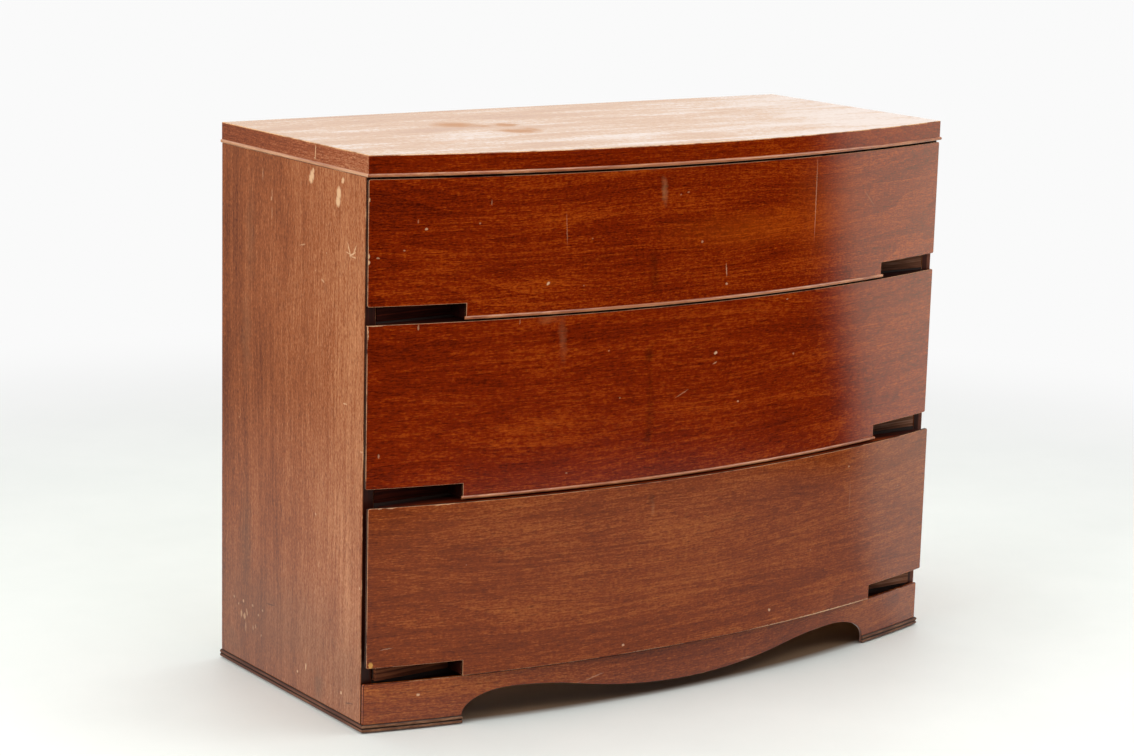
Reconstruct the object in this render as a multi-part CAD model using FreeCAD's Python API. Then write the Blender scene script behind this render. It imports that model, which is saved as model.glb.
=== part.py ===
import FreeCAD, Part
import math
import os

# Bow front chest of three drawers, veneered in mahogany, 1940s manner.
#
# A flat sided case carries a thick top with a bowed front edge.  Each drawer is a dovetailed box
# whose flat front carries a bowed plywood face on two segment boards.  The face is cut away at both
# lower corners, and the hollow behind it takes the fingers, so the drawers have no handles.
# A bowed apron with a scrolled lower edge closes the base.
#
# Millimetres.  +Z is up, the front looks along -Y and +X is the right hand side.
# The origin is on the floor, below the middle of the box that holds the chest at rest.

# ---- overall form ---------------------------------------------------------------------------
case_width = 1100.0
side_depth = 438.0            # depth of the flat sides, up to the ends of the bow
bow_rise = 77.0               # how far the middle of the front stands ahead of its ends
top_thickness = 32.0
top_ease = 1.2                # small rounding of the top's upper edges
side_thickness = 19.0
glide_height = 1.5            # the wood stands this far above the floor

# ---- drawer and plinth heights ----------------------------------------------------------------
plinth_height = 75.5
bottom_face_height = 268.0
middle_face_height = 268.0
top_face_height = 209.5
drawer_gap = 3.0              # between one bowed face and the next

# ---- bowed faces ------------------------------------------------------------------------------
face_thickness = 5.0
face_setback = 2.0            # air between the ends of a face and the case front
face_end_gap = 0.5            # the faces stop this far inside the case sides
face_corner_radius = 3.0
segment_thickness = 22.0      # boards sawn to the bow behind each face
closed_gap = 0.5              # between a shut drawer and the case front

# ---- finger notches ---------------------------------------------------------------------------
notch_length = 147.0
notch_height = 24.0

# ---- drawer boxes -----------------------------------------------------------------------------
box_rear_gap = 20.5           # between the rear of a shut box and the back panel
box_side_gap = 1.5            # on each side, between box and case
box_front_thickness = 19.0
box_side_thickness = 12.0
box_back_thickness = 12.0
box_side_drop = 6.0           # the sides and back stop this far below the box front
bottom_thickness = 5.0
bottom_rise = 9.0             # the bottom panel lies this far above the box's lower edge
groove_depth = 6.0
groove_play = 0.1             # room around a panel in its groove
seat_gap = 0.3                # between a drawer box and its runners
kicker_gap = 2.0              # between a drawer box and the frame above

# ---- dovetails --------------------------------------------------------------------------------
tail_pitch = 23.0
pin_width = 5.0               # at the narrow end of a pin
tail_slope = 0.14
front_lap = 6.0               # wood left in front of the tails

# ---- web frames between the drawers -------------------------------------------------------------
rail_thickness = 16.0
rail_width = 60.0
runner_width = 50.0
dust_thickness = 3.5

# ---- back ---------------------------------------------------------------------------------------
back_thickness = 6.0
back_rebate = 10.0            # how far the back reaches over each side panel

# ---- beads and mouldings ------------------------------------------------------------------------
top_bead_height = 5.5
drawer_bead_height = 5.0
drawer_bead_overrun = 3.0     # past the end of the notch
moulding_height = 12.0
moulding_backing = 0.8
moulding_reach = 3.2

# ---- apron --------------------------------------------------------------------------------------
foot_width = 152.0
arch_width = 80.0             # quarter ellipse beside each foot
arch_crown = 50.0             # height of the highest point of the lower edge above the floor
apron_drop = 19.5             # height of its lowest point, in the middle
scroll_share = 0.36           # share of the fall from crown to middle that curves outwards
core_thickness = 16.0
core_below_top = 7.5
foot_block_width = 91.0

# ---- glides -------------------------------------------------------------------------------------
glide_radius = 8.0
glide_bevel = 1.5
glide_inset = 30.0            # from the front and back ends of each side panel

# ---- state of the drawers -----------------------------------------------------------------------
bottom_drawer_ajar = 8.0      # the lowest drawer stands open by this much at rest

# ---- derived sizes ------------------------------------------------------------------------------
half_width = case_width / 2
overall_depth = side_depth + bow_rise + bottom_drawer_ajar
back_y = overall_depth / 2


def y_at(depth):
    """Y of a plane that lies depth in front of the back of the case."""
    return back_y - depth


bow_radius = (half_width ** 2 + bow_rise ** 2) / (2 * bow_rise)
bow_centre_y = y_at(side_depth + bow_rise) + bow_radius
case_front_y = y_at(side_depth - face_thickness - face_setback)
rebate_y = y_at(back_thickness)
box_front_y = case_front_y - closed_gap
box_rear_y = rebate_y - box_rear_gap
inside_half = half_width - side_thickness
box_half = inside_half - box_side_gap
face_half = half_width - face_end_gap
notch_inner = face_half - notch_length

bottom_face_z = plinth_height + drawer_gap
middle_face_z = bottom_face_z + bottom_face_height + drawer_gap
top_face_z = middle_face_z + middle_face_height + drawer_gap
case_top_z = top_face_z + top_face_height + drawer_gap
overall_height = case_top_z + top_thickness

drawers = {
    "bottom": {"z": bottom_face_z, "height": bottom_face_height, "bead": False, "open": bottom_drawer_ajar},
    "middle": {"z": middle_face_z, "height": middle_face_height, "bead": True, "open": 0.0},
    "top": {"z": top_face_z, "height": top_face_height, "bead": True, "open": 0.0},
}
# the underside of the frame above each drawer, and the upper face of the frame that carries it
frame_above = {
    "bottom": middle_face_z - seat_gap - rail_thickness,
    "middle": top_face_z - seat_gap - rail_thickness,
    "top": case_top_z - rail_thickness,
}


# ---- helpers ------------------------------------------------------------------------------------
sawing_spare = 10.0           # how far stock reaches past the outline that it is cut to
mitre_spare = 12.0            # how far a strip reaches past its mitre before it is cut
mitre_reach = 30.0            # half the length of a mitre cut


def vec(x, y, z):
    return FreeCAD.Vector(x, y, z)


def block(x0, x1, y0, y1, z0, z1):
    """Rectangular board between two corners."""
    return Part.makeBox(x1 - x0, y1 - y0, z1 - z0, vec(x0, y0, z0))


def line(start, end):
    return Part.LineSegment(start, end).toShape()


def bow_y(x, inset):
    """Y of the bowed surface that lies inset behind the outer one, at a distance x from the middle."""
    radius = bow_radius - inset
    return bow_centre_y - math.sqrt(radius ** 2 - x ** 2)


def bow_arc(x_from, x_to, inset, z):
    """Edge along the bow, from one x to another."""
    middle = (x_from + x_to) / 2
    points = [vec(x, bow_y(x, inset), z) for x in (x_from, middle, x_to)]
    return Part.Arc(*points).toShape()


def segment_board(x_from, x_to, rear_y, inset, z0, z1):
    """Board with a straight rear edge and a front edge sawn to the bow."""
    edges = [
        bow_arc(x_from, x_to, inset, z0),
        line(vec(x_to, bow_y(x_to, inset), z0), vec(x_to, rear_y, z0)),
        line(vec(x_to, rear_y, z0), vec(x_from, rear_y, z0)),
        line(vec(x_from, rear_y, z0), vec(x_from, bow_y(x_from, inset), z0)),
    ]
    return Part.Face(Part.Wire(edges)).extrude(vec(0, 0, z1 - z0))


def bowed_sheet(x_half, z0, z1):
    """Sheet of face thickness bent to the bow."""
    edges = [
        bow_arc(-x_half, x_half, 0, z0),
        line(vec(x_half, bow_y(x_half, 0), z0), vec(x_half, bow_y(x_half, face_thickness), z0)),
        bow_arc(x_half, -x_half, face_thickness, z0),
        line(vec(-x_half, bow_y(x_half, face_thickness), z0), vec(-x_half, bow_y(x_half, 0), z0)),
    ]
    return Part.Face(Part.Wire(edges)).extrude(vec(0, 0, z1 - z0))


def sawn_from_sheet(outline):
    """Bowed piece cut to an outline that is drawn in the plane of X and Z."""
    box = outline.BoundBox
    sheet = bowed_sheet(box.XMax + sawing_spare, box.ZMin - sawing_spare, box.ZMax + sawing_spare)
    ahead = y_at(side_depth + bow_rise) - sawing_spare
    behind = bow_y(box.XMax, face_thickness) + sawing_spare
    placed = outline.copy()
    placed.translate(vec(0, ahead, 0))
    return sheet.common(Part.Face(placed).extrude(vec(0, behind - ahead, 0)))


def rounded_outline(corners):
    """Closed wire in X and Z through corners given as (x, z, radius), each rounded by an arc."""
    count = len(corners)
    starts = []
    ends = []
    arcs = []
    for i, (x, z, radius) in enumerate(corners):
        here = vec(x, 0, z)
        before = vec(corners[i - 1][0], 0, corners[i - 1][1]) - here
        after = vec(corners[(i + 1) % count][0], 0, corners[(i + 1) % count][1]) - here
        before.normalize()
        after.normalize()
        start = here + before * radius
        end = here + after * radius
        starts.append(start)
        ends.append(end)
        if radius > 0:
            bulge = here + (before + after) * (radius * (1 - math.sqrt(0.5)))
            arcs.append(Part.Arc(start, bulge, end).toShape())
        else:
            arcs.append(None)
    edges = []
    for i in range(count):
        if arcs[i]:
            edges.append(arcs[i])
        edges.append(line(ends[i], starts[(i + 1) % count]))
    return Part.Wire(edges)


def bow_angle(x):
    """Angle round the bow's axis of a point that lies x from the middle."""
    return math.degrees(math.asin(x / bow_radius))


def set_on_bow(profile, x):
    """Profile drawn at the crown of the bow, turned round the bow's axis to another x."""
    turned = profile.copy()
    turned.rotate(vec(0, bow_centre_y, 0), vec(0, 0, 1), bow_angle(x))
    return turned


def swept_on_bow(profile, x_from, x_to):
    """Strip with a profile drawn at the crown of the bow, carried round it and cut square at its ends."""
    sweep = bow_angle(x_to) - bow_angle(x_from)
    return set_on_bow(profile, x_from).revolve(vec(0, bow_centre_y, 0), vec(0, 0, 1), sweep)


def bead_profile(height, z0):
    """Half round bead: a half disc that stands out of the crown of the bow."""
    surface_y = bow_y(0, 0)
    low = vec(0, surface_y, z0)
    high = vec(0, surface_y, z0 + height)
    nose = vec(0, surface_y - height / 2, z0 + height / 2)
    return Part.Face(Part.Wire([Part.Arc(low, nose, high).toShape(), line(high, low)]))


def moulding_profile(z0):
    """Two beads, one above the other, on a thin backing strip."""
    surface_y = bow_y(0, 0)
    backing_y = surface_y - moulding_backing
    nose_y = surface_y - moulding_reach
    step = moulding_height / 2
    edges = [line(vec(0, surface_y, z0), vec(0, backing_y, z0))]
    for i in range(2):
        low = z0 + i * step
        nose = vec(0, nose_y, low + step / 2)
        edges.append(Part.Arc(vec(0, backing_y, low), nose, vec(0, backing_y, low + step)).toShape())
    top = z0 + moulding_height
    edges.append(line(vec(0, backing_y, top), vec(0, surface_y, top)))
    edges.append(line(vec(0, surface_y, top), vec(0, surface_y, z0)))
    return Part.Face(Part.Wire(edges))


def along_side(profile, hand):
    """Strip with a bow profile carried straight along one side of the case; hand is -1 left, 1 right."""
    strip = profile.copy()
    strip.translate(vec(0, -bow_y(0, 0), 0))
    strip.rotate(vec(0, 0, 0), vec(0, 0, 1), 90 * hand)
    strip.translate(vec(hand * half_width, back_y, 0))
    return strip.extrude(vec(0, -side_depth - mitre_spare, 0))


def mitre_offcut(hand, z0, z1, along_the_side):
    """What lies past the mitre at a front corner, on the side's part or on the front's part of it."""
    tilt = math.radians(bow_angle(half_width))
    outward = vec(hand * (1 + math.sin(tilt)), -math.cos(tilt), 0)
    outward.normalize()
    turn = hand if along_the_side else -hand
    across = vec(-turn * outward.y, turn * outward.x, 0)
    corner = vec(hand * half_width, y_at(side_depth), z0)
    near = corner - outward * mitre_reach
    far = corner + outward * mitre_reach
    points = [near, far, far + across * mitre_reach, near + across * mitre_reach, near]
    return Part.Face(Part.makePolygon(points)).extrude(vec(0, 0, z1 - z0))


def mitred_front(profile, x_from, x_to, hands):
    """Strip round the bow, with a short straight end past each corner that is cut to the mitre."""
    box = profile.BoundBox
    strip = swept_on_bow(profile, x_from, x_to)
    for hand in hands:
        tilt = math.radians(bow_angle(half_width))
        run = vec(hand * math.cos(tilt), math.sin(tilt), 0) * mitre_spare
        end = set_on_bow(profile, hand * half_width).extrude(run)
        strip = strip.fuse(end.cut(mitre_offcut(hand, box.ZMin - 1, box.ZMax + 1, True)))
    return strip.removeSplitter()


def mitred_side(profile, hand):
    """Strip along a side, mitred at the front corner."""
    box = profile.BoundBox
    return along_side(profile, hand).cut(mitre_offcut(hand, box.ZMin - 1, box.ZMax + 1, False))


os.makedirs("parts", exist_ok=True)
built = {}


def keep(name, shape):
    """Write one piece, as one solid or a group of them."""
    solids = shape.Solids
    piece = solids[0] if len(solids) == 1 else Part.makeCompound(solids)
    built[name] = piece
    piece.exportStep("parts/" + name + ".step")
    return piece


# ---- case: sides, top, back ---------------------------------------------------------------------
def glide(x, y):
    """Steel glide: a shallow button with a bevelled edge, under the end of a side panel."""
    return Part.makeCone(glide_radius - glide_bevel, glide_radius, glide_height, vec(x, y, 0))


glide_x = half_width - side_thickness / 2
glide_ys = [case_front_y + glide_inset, back_y - glide_inset]
keep("glides", Part.makeCompound([glide(hand * glide_x, y) for hand in (-1, 1) for y in glide_ys]))

for hand, name in ((-1, "left"), (1, "right")):
    outer = hand * half_width
    inner = hand * inside_half
    panel = block(min(outer, inner), max(outer, inner), case_front_y, back_y, glide_height, case_top_z)
    lip = hand * (inside_half + back_rebate)
    rebate = block(min(inner, lip), max(inner, lip), rebate_y, back_y, glide_height, case_top_z)
    keep("side_" + name, panel.cut(rebate))

back_half = inside_half + back_rebate - groove_play
keep("back_panel", block(-back_half, back_half, rebate_y, back_y, plinth_height, case_top_z))

slab = segment_board(-half_width, half_width, back_y, 0, case_top_z, overall_height)
upper_edges = [edge for edge in slab.Edges if edge.BoundBox.ZMin > overall_height - 0.01]
keep("top_panel", slab.makeFillet(min(top_ease, top_thickness / 3), upper_edges))

top_bead = bead_profile(top_bead_height, case_top_z)
keep("top_bead_front", mitred_front(top_bead, -half_width, half_width, (-1, 1)))
keep("top_bead_left", mitred_side(top_bead, -1))
keep("top_bead_right", mitred_side(top_bead, 1))


# ---- web frames: rails, runners, dust panels ------------------------------------------------------
front_rail_y = case_front_y + rail_width
back_rail_y = rebate_y - rail_width
runner_inner = inside_half - runner_width
groove_height = dust_thickness + 2 * groove_play


def web_frame(level, z1, side_member, dusty):
    """Frame of two rails and two side members, with a dust panel in its grooves where it has one."""
    z0 = z1 - rail_thickness
    middle_z = (z0 + z1) / 2
    groove = block(-runner_inner - groove_depth, runner_inner + groove_depth, front_rail_y - groove_depth,
                   back_rail_y + groove_depth, middle_z - groove_height / 2, middle_z + groove_height / 2)
    members = {
        "front_rail_" + level: block(-inside_half, inside_half, case_front_y, front_rail_y, z0, z1),
        "back_rail_" + level: block(-inside_half, inside_half, back_rail_y, rebate_y, z0, z1),
        side_member + "_" + level + "_left": block(-inside_half, -runner_inner, front_rail_y, back_rail_y, z0, z1),
        side_member + "_" + level + "_right": block(runner_inner, inside_half, front_rail_y, back_rail_y, z0, z1),
    }
    for name, member in members.items():
        keep(name, member.cut(groove) if dusty else member)
    if dusty:
        reach = groove_depth - groove_play
        keep("dust_panel_" + level,
             block(-runner_inner - reach, runner_inner + reach, front_rail_y - reach, back_rail_y + reach,
                   middle_z - dust_thickness / 2, middle_z + dust_thickness / 2))


web_frame("base", bottom_face_z - seat_gap, "runner", True)
web_frame("lower", middle_face_z - seat_gap, "runner", True)
web_frame("upper", top_face_z - seat_gap, "runner", True)
web_frame("top", case_top_z, "kicker", False)


# ---- base: apron, core, blocks, mouldings ---------------------------------------------------------
def apron_outline():
    """Apron with a foot at each end, a quarter ellipse beside it and a scroll down to the middle."""
    foot_inner = half_width - foot_width
    foot_low = glide_height
    spring = foot_low + moulding_height
    crown_x = foot_inner - arch_width
    fall = arch_crown - apron_drop
    radii = (crown_x ** 2 + fall ** 2) / (2 * fall)
    outer_radius = radii * scroll_share
    turn_x = crown_x * (1 - scroll_share)
    turn_z = arch_crown - fall * scroll_share
    outer_mid_x = (crown_x + turn_x) / 2
    outer_mid_z = arch_crown - outer_radius + math.sqrt(outer_radius ** 2 - (crown_x - outer_mid_x) ** 2)
    edges = []
    for hand in (-1, 1):
        top_corner = face_half - face_corner_radius
        ellipse = Part.Ellipse(vec(hand * foot_inner, 0, spring), vec(hand * crown_x, 0, arch_crown),
                               vec(hand * crown_x, 0, spring))
        quarter = Part.Arc(ellipse, 0, math.pi / 2).toShape()
        scroll = Part.Arc(vec(hand * crown_x, 0, arch_crown), vec(hand * outer_mid_x, 0, outer_mid_z),
                          vec(hand * turn_x, 0, turn_z)).toShape()
        bend = face_corner_radius * (1 - math.sqrt(0.5))
        corner = Part.Arc(vec(hand * top_corner, 0, plinth_height),
                          vec(hand * (face_half - bend), 0, plinth_height - bend),
                          vec(hand * face_half, 0, plinth_height - face_corner_radius)).toShape()
        edges += [
            corner,
            line(vec(hand * face_half, 0, plinth_height - face_corner_radius), vec(hand * face_half, 0, foot_low)),
            line(vec(hand * face_half, 0, foot_low), vec(hand * foot_inner, 0, foot_low)),
            line(vec(hand * foot_inner, 0, foot_low), vec(hand * foot_inner, 0, spring)),
            quarter,
            scroll,
        ]
    edges.append(Part.Arc(vec(-turn_x, 0, turn_z), vec(0, 0, apron_drop), vec(turn_x, 0, turn_z)).toShape())
    top_left = vec(-face_half + face_corner_radius, 0, plinth_height)
    top_right = vec(face_half - face_corner_radius, 0, plinth_height)
    edges.append(line(top_left, top_right))
    return Part.Wire(Part.__sortEdges__(edges))


keep("apron", sawn_from_sheet(apron_outline()))

core_z1 = plinth_height - core_below_top
core_z0 = core_z1 - core_thickness
keep("apron_core", segment_board(-inside_half, inside_half, case_front_y, face_thickness, core_z0, core_z1))

foot_blocks = []
for hand in (-1, 1):
    ends = sorted((hand * inside_half, hand * (inside_half - foot_block_width)))
    foot_blocks.append(segment_board(ends[0], ends[1], case_front_y, face_thickness, glide_height, core_z0))
keep("foot_blocks", Part.makeCompound(foot_blocks))

moulding = moulding_profile(glide_height)
foot_inner_x = half_width - foot_width
keep("foot_moulding_left", mitred_front(moulding, -half_width, -foot_inner_x, (-1,)))
keep("foot_moulding_right", mitred_front(moulding, foot_inner_x, half_width, (1,)))
keep("side_moulding_left", mitred_side(moulding, -1))
keep("side_moulding_right", mitred_side(moulding, 1))


# ---- drawers --------------------------------------------------------------------------------------
def tail_edge(root_y, tip_y, z0, z1):
    """Points of a row of dovetails from z0 up to z1, as (y, z)."""
    count = max(2, round((z1 - z0) / tail_pitch))
    pitch = (z1 - z0) / count
    tip_half = (pitch - pin_width) / 2
    root_half = tip_half - abs(tip_y - root_y) * tail_slope
    points = [(root_y, z0)]
    for i in range(count):
        middle = z0 + (i + 0.5) * pitch
        points += [(root_y, middle - root_half), (tip_y, middle - tip_half),
                   (tip_y, middle + tip_half), (root_y, middle + root_half)]
    points.append((root_y, z1))
    return points


def face_outline(z0, z1):
    """Drawer face with a finger notch at each lower corner."""
    notch_z = z0 + notch_height
    r = face_corner_radius
    return rounded_outline([
        (-face_half, notch_z, r), (-notch_inner, notch_z, 0), (-notch_inner, z0, 0),
        (notch_inner, z0, 0), (notch_inner, notch_z, 0), (face_half, notch_z, r),
        (face_half, z1, r), (-face_half, z1, r),
    ])


def build_drawer(level, z0, face_height, ceiling, has_bead, opened):
    """One drawer, built shut and then moved out by opened."""
    name = level + "_drawer"
    z1 = z0 + face_height
    box_top = ceiling - kicker_gap
    side_top = box_top - box_side_drop
    groove_z0 = z0 + bottom_rise - groove_play
    groove_z1 = z0 + bottom_rise + bottom_thickness + groove_play
    board_rear = box_front_y + box_front_thickness
    back_front = box_rear_y - box_back_thickness
    inner_half = box_half - box_side_thickness
    pieces = {}

    outline = tail_edge(board_rear, box_front_y + front_lap, z0, side_top)
    rear = tail_edge(back_front, box_rear_y, groove_z1, side_top)
    outline += list(reversed(rear))
    outline += [(box_rear_y, groove_z1), (box_rear_y, z0), (board_rear, z0)]
    side_profile = Part.Face(Part.makePolygon([vec(0, y, z) for y, z in outline]))
    board = side_profile.extrude(vec(box_side_thickness, 0, 0))
    groove = block(-inner_half - groove_depth, inner_half + groove_depth, board_rear - groove_depth,
                   box_rear_y + 1, groove_z0, groove_z1)
    whole_sides = []
    for hand, side in ((-1, "left"), (1, "right")):
        placed = board.copy()
        placed.translate(vec(-box_half if hand < 0 else box_half - box_side_thickness, 0, 0))
        whole_sides.append(placed)
        pieces["side_" + side] = placed.cut(groove)

    front = block(-box_half, box_half, box_front_y, board_rear, z0, box_top)
    rear_board = block(-box_half, box_half, back_front, box_rear_y, groove_z1, side_top)
    for placed in whole_sides:
        front = front.cut(placed)
        rear_board = rear_board.cut(placed)
    pieces["box_front"] = front.cut(groove)
    pieces["back"] = rear_board

    reach = groove_depth - groove_play
    pieces["bottom"] = block(-inner_half - reach, inner_half + reach, board_rear - reach, box_rear_y,
                             z0 + bottom_rise, z0 + bottom_rise + bottom_thickness)

    pieces["face"] = sawn_from_sheet(face_outline(z0, z1))
    pieces["cap"] = segment_board(-box_half, box_half, box_front_y, face_thickness, z1 - segment_thickness, z1)
    pieces["rib"] = segment_board(-notch_inner, notch_inner, box_front_y, face_thickness, z0, z0 + segment_thickness)
    if has_bead:
        bead_end = notch_inner + drawer_bead_overrun
        pieces["bead"] = swept_on_bow(bead_profile(drawer_bead_height, z0), -bead_end, bead_end)

    for piece, shape in pieces.items():
        shape.translate(vec(0, -opened, 0))
        keep(name + "_" + piece, shape)


for level, drawer in drawers.items():
    build_drawer(level, drawer["z"], drawer["height"], frame_above[level], drawer["bead"], drawer["open"])
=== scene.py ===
# %% [markdown]
# # Dressing a bow front chest of three drawers
# The solid chest comes packed: every board is a CAD node at its real size, and it stands where it
# belongs. This lesson gives those boards their finish. It eases the arrises that hands have rubbed
# for eighty years, lays mahogany veneer on the show faces, leaves the drawer boxes in bare maple
# and lights the piece softly on a pale floor. Lengths are metres, and patterns are worked out in
# millimetres.

# %% Load the solid chest
import math

import bmesh
import bpy
import numpy as np
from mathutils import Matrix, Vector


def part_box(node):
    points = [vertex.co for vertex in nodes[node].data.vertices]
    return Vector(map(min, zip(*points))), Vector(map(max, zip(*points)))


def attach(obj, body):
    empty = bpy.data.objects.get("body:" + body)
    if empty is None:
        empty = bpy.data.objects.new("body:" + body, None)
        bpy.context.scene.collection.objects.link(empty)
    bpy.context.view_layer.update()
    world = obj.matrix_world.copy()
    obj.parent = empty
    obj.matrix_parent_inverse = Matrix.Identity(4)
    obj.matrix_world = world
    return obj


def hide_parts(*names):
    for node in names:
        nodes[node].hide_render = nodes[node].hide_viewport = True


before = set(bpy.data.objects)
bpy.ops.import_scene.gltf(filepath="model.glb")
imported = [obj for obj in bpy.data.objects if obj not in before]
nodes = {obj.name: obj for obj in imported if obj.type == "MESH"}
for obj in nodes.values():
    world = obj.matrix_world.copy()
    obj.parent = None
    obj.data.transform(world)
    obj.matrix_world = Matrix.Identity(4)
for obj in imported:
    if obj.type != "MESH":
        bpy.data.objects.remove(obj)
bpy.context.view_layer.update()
MM = 0.001

# %% [markdown]
# ## The camera
# A camera is a place, a direction and a focal length. A constraint that tracks an empty could aim
# it, but three plain angles are easier to read and to change one at a time: the yaw turns it from
# +Y towards +X, the pitch looks down, and the roll tips the picture. The three unit vectors that
# follow from them are the columns of the camera's matrix.

# %% Camera
CAMERA_PLACE = (-2.6006, -3.5470, 1.3725)
CAMERA_YAW = math.radians(35.536)
CAMERA_PITCH = math.radians(11.824)
CAMERA_ROLL = math.radians(1.520)
CAMERA_LENS = 88.18     # focal length and film width in millimetres
FILM_WIDTH = 36.0


def camera_matrix(place, yaw, pitch, roll):
    """Columns: right, up, backwards and place. The roll turns right and up about the line of sight.

    Forward is (sin yaw cos pitch, cos yaw cos pitch, -sin pitch)."""
    forward = np.array([math.sin(yaw) * math.cos(pitch), math.cos(yaw) * math.cos(pitch),
                        -math.sin(pitch)])
    level = np.array([math.cos(yaw), -math.sin(yaw), 0.0])
    upright = np.cross(level, forward)
    matrix = np.eye(4)
    matrix[:3, 0] = math.cos(roll) * level + math.sin(roll) * upright
    matrix[:3, 1] = -math.sin(roll) * level + math.cos(roll) * upright
    matrix[:3, 2] = -forward
    matrix[:3, 3] = place
    return matrix


camera_data = bpy.data.cameras.new("camera")
camera_data.lens = CAMERA_LENS
camera_data.sensor_width = FILM_WIDTH
camera_data.sensor_fit = "HORIZONTAL"
camera = bpy.data.objects.new("camera", camera_data)
bpy.context.scene.collection.objects.link(camera)
camera.matrix_world = camera_matrix(CAMERA_PLACE, CAMERA_YAW, CAMERA_PITCH, CAMERA_ROLL).T.tolist()
bpy.context.scene.camera = camera
bpy.context.scene.view_settings.view_transform = "Standard"
print("camera", round(float(np.linalg.norm(CAMERA_PLACE)), 2), "m from the middle of the floor")

# %% [markdown]
# ## Helpers for colours and nodes
# Colours are written the way a paint chart gives them, as sRGB hex values, and one function turns
# them into the linear numbers that a shader reckons with. Nodes could be placed and wired by hand
# in the editor. Here one function adds a node to a tree, sets its properties and fills its inputs,
# with a value or with a link from an earlier node, so that a material reads from top to bottom.

# %% Colours
NOISE_SPAN = (0.3, 0.7)     # most of a noise lies between these


def linear(hex_colour):
    """Linear RGBA of an sRGB hex colour.

    A channel is c / 12.92 up to 0.04045, and above it ((c + 0.055) / 1.055) to the power 2.4."""
    channels = np.array([int(hex_colour[i:i + 2], 16) for i in (1, 3, 5)]) / 255.0
    low = channels / 12.92
    high = ((channels + 0.055) / 1.055) ** 2.4
    return (*np.where(channels <= 0.04045, low, high).tolist(), 1.0)


def two_tones(dark, light):
    """Stops of a colour ramp for a noise: one hex colour at each end of its span."""
    return list(zip(NOISE_SPAN, (dark, light)))


print("mahogany brown in linear light:", np.round(linear("#842200"), 3))

# %% Nodes
# settings of Mix nodes and Map Range nodes that come back often
RGBA = dict(data_type="RGBA")
SMOOTH = dict(interpolation_type="SMOOTHSTEP")


def add(tree, kind, inputs=(), stops=None, **settings):
    """One node. inputs are values, sockets or nodes, in the order of its sockets or by their names.

    Map Range takes value, from min, from max, to min, to max, and Mix takes factor, A, B. stops are
    the places and hex colours of a colour ramp."""
    node = tree.nodes.new("ShaderNode" + kind)
    for name, value in settings.items():
        setattr(node, name, value)
    if stops:
        ramp = node.color_ramp
        while len(ramp.elements) < len(stops):
            ramp.elements.new(0.5)
        for element, (position, colour) in zip(ramp.elements, stops):
            element.position = position
            element.color = linear(colour)
    sockets = [socket for socket in node.inputs if socket.enabled]
    if isinstance(inputs, dict):
        names = [socket.name for socket in sockets]
        sockets = [sockets[names.index(name)] for name in inputs]
        inputs = inputs.values()
    for socket, value in zip(sockets, inputs):
        if isinstance(value, bpy.types.Node):
            value = next(output for output in value.outputs if output.enabled)
        if isinstance(value, bpy.types.NodeSocket):
            tree.links.new(value, socket)
        else:
            socket.default_value = value
    return node


def new_material(name):
    """An empty material and its node tree."""
    material = bpy.data.materials.new(name)
    material.use_nodes = True
    material.node_tree.nodes.clear()
    return material, material.node_tree


print("a node takes its settings by name, such as", RGBA)

# %% [markdown]
# ## Sizes read from the frame
# The figure of a face is taken from its upper edge, and the screws of the back stand in its rails.
# Those heights could be typed in, but then a change of the chest would leave them behind. The boxes
# of the CAD nodes say where each drawer face begins and ends, and further on where the back board
# and its rails lie.

# %% Sizes of the chest
LEVELS = ("top", "middle", "bottom")
face_boxes = {level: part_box(level + "_drawer_face") for level in LEVELS}
for level, (low, high) in face_boxes.items():
    print(level, "face from", round(low.z / MM, 1), "to", round(high.z / MM, 1), "mm")

# %% [markdown]
# ## The studio floor
# A wide pale floor runs off into white, so there is no horizon. It could be a curved backdrop, but
# a flat floor that fades looks the same from every side. The paint is matt and a little mottled,
# and it keeps the soft shadow. Under the apron a shadow is painted on the floor. It is warm because
# what light comes in there has touched the mahogany first: inside the bow and between the feet it
# is dark brown just behind the apron and tan deeper in.

# %% Floor
FLOOR_HALF = 40.0

floor_mesh = bpy.data.meshes.new("floor")
corners = FLOOR_HALF * np.array([[-1, -1, 0], [1, -1, 0], [1, 1, 0], [-1, 1, 0]])
floor_mesh.from_pydata(corners.tolist(), [], [(0, 1, 2, 3)])
floor = bpy.data.objects.new("floor", floor_mesh)
bpy.context.scene.collection.objects.link(floor)
print("floor", 2 * FLOOR_HALF, "m wide")

# %% Floor paint
FADE = (1.0, 2.8)                    # distance over which the floor runs off into white
MOTTLE_SCALE = 2.2                   # mottles in a metre
BOW_CENTRE = (0.0, 1.741, 0.0)
UNDER_APRON_SHADOW_START = (1.995, 1.975)          # distance from the bow's centre: the apron's foot stands there
UNDER_APRON_SHADOW_DEPTH = (1.98, 1.86)            # the painted shadow turns from dark brown to tan
UNDER_APRON_SHADOW_ENDS = (0.54, 0.50)             # distance to either side of the middle
UNDER_APRON_SHADOW_BACK = (-0.02, -0.09)           # y at which it has died away

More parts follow.
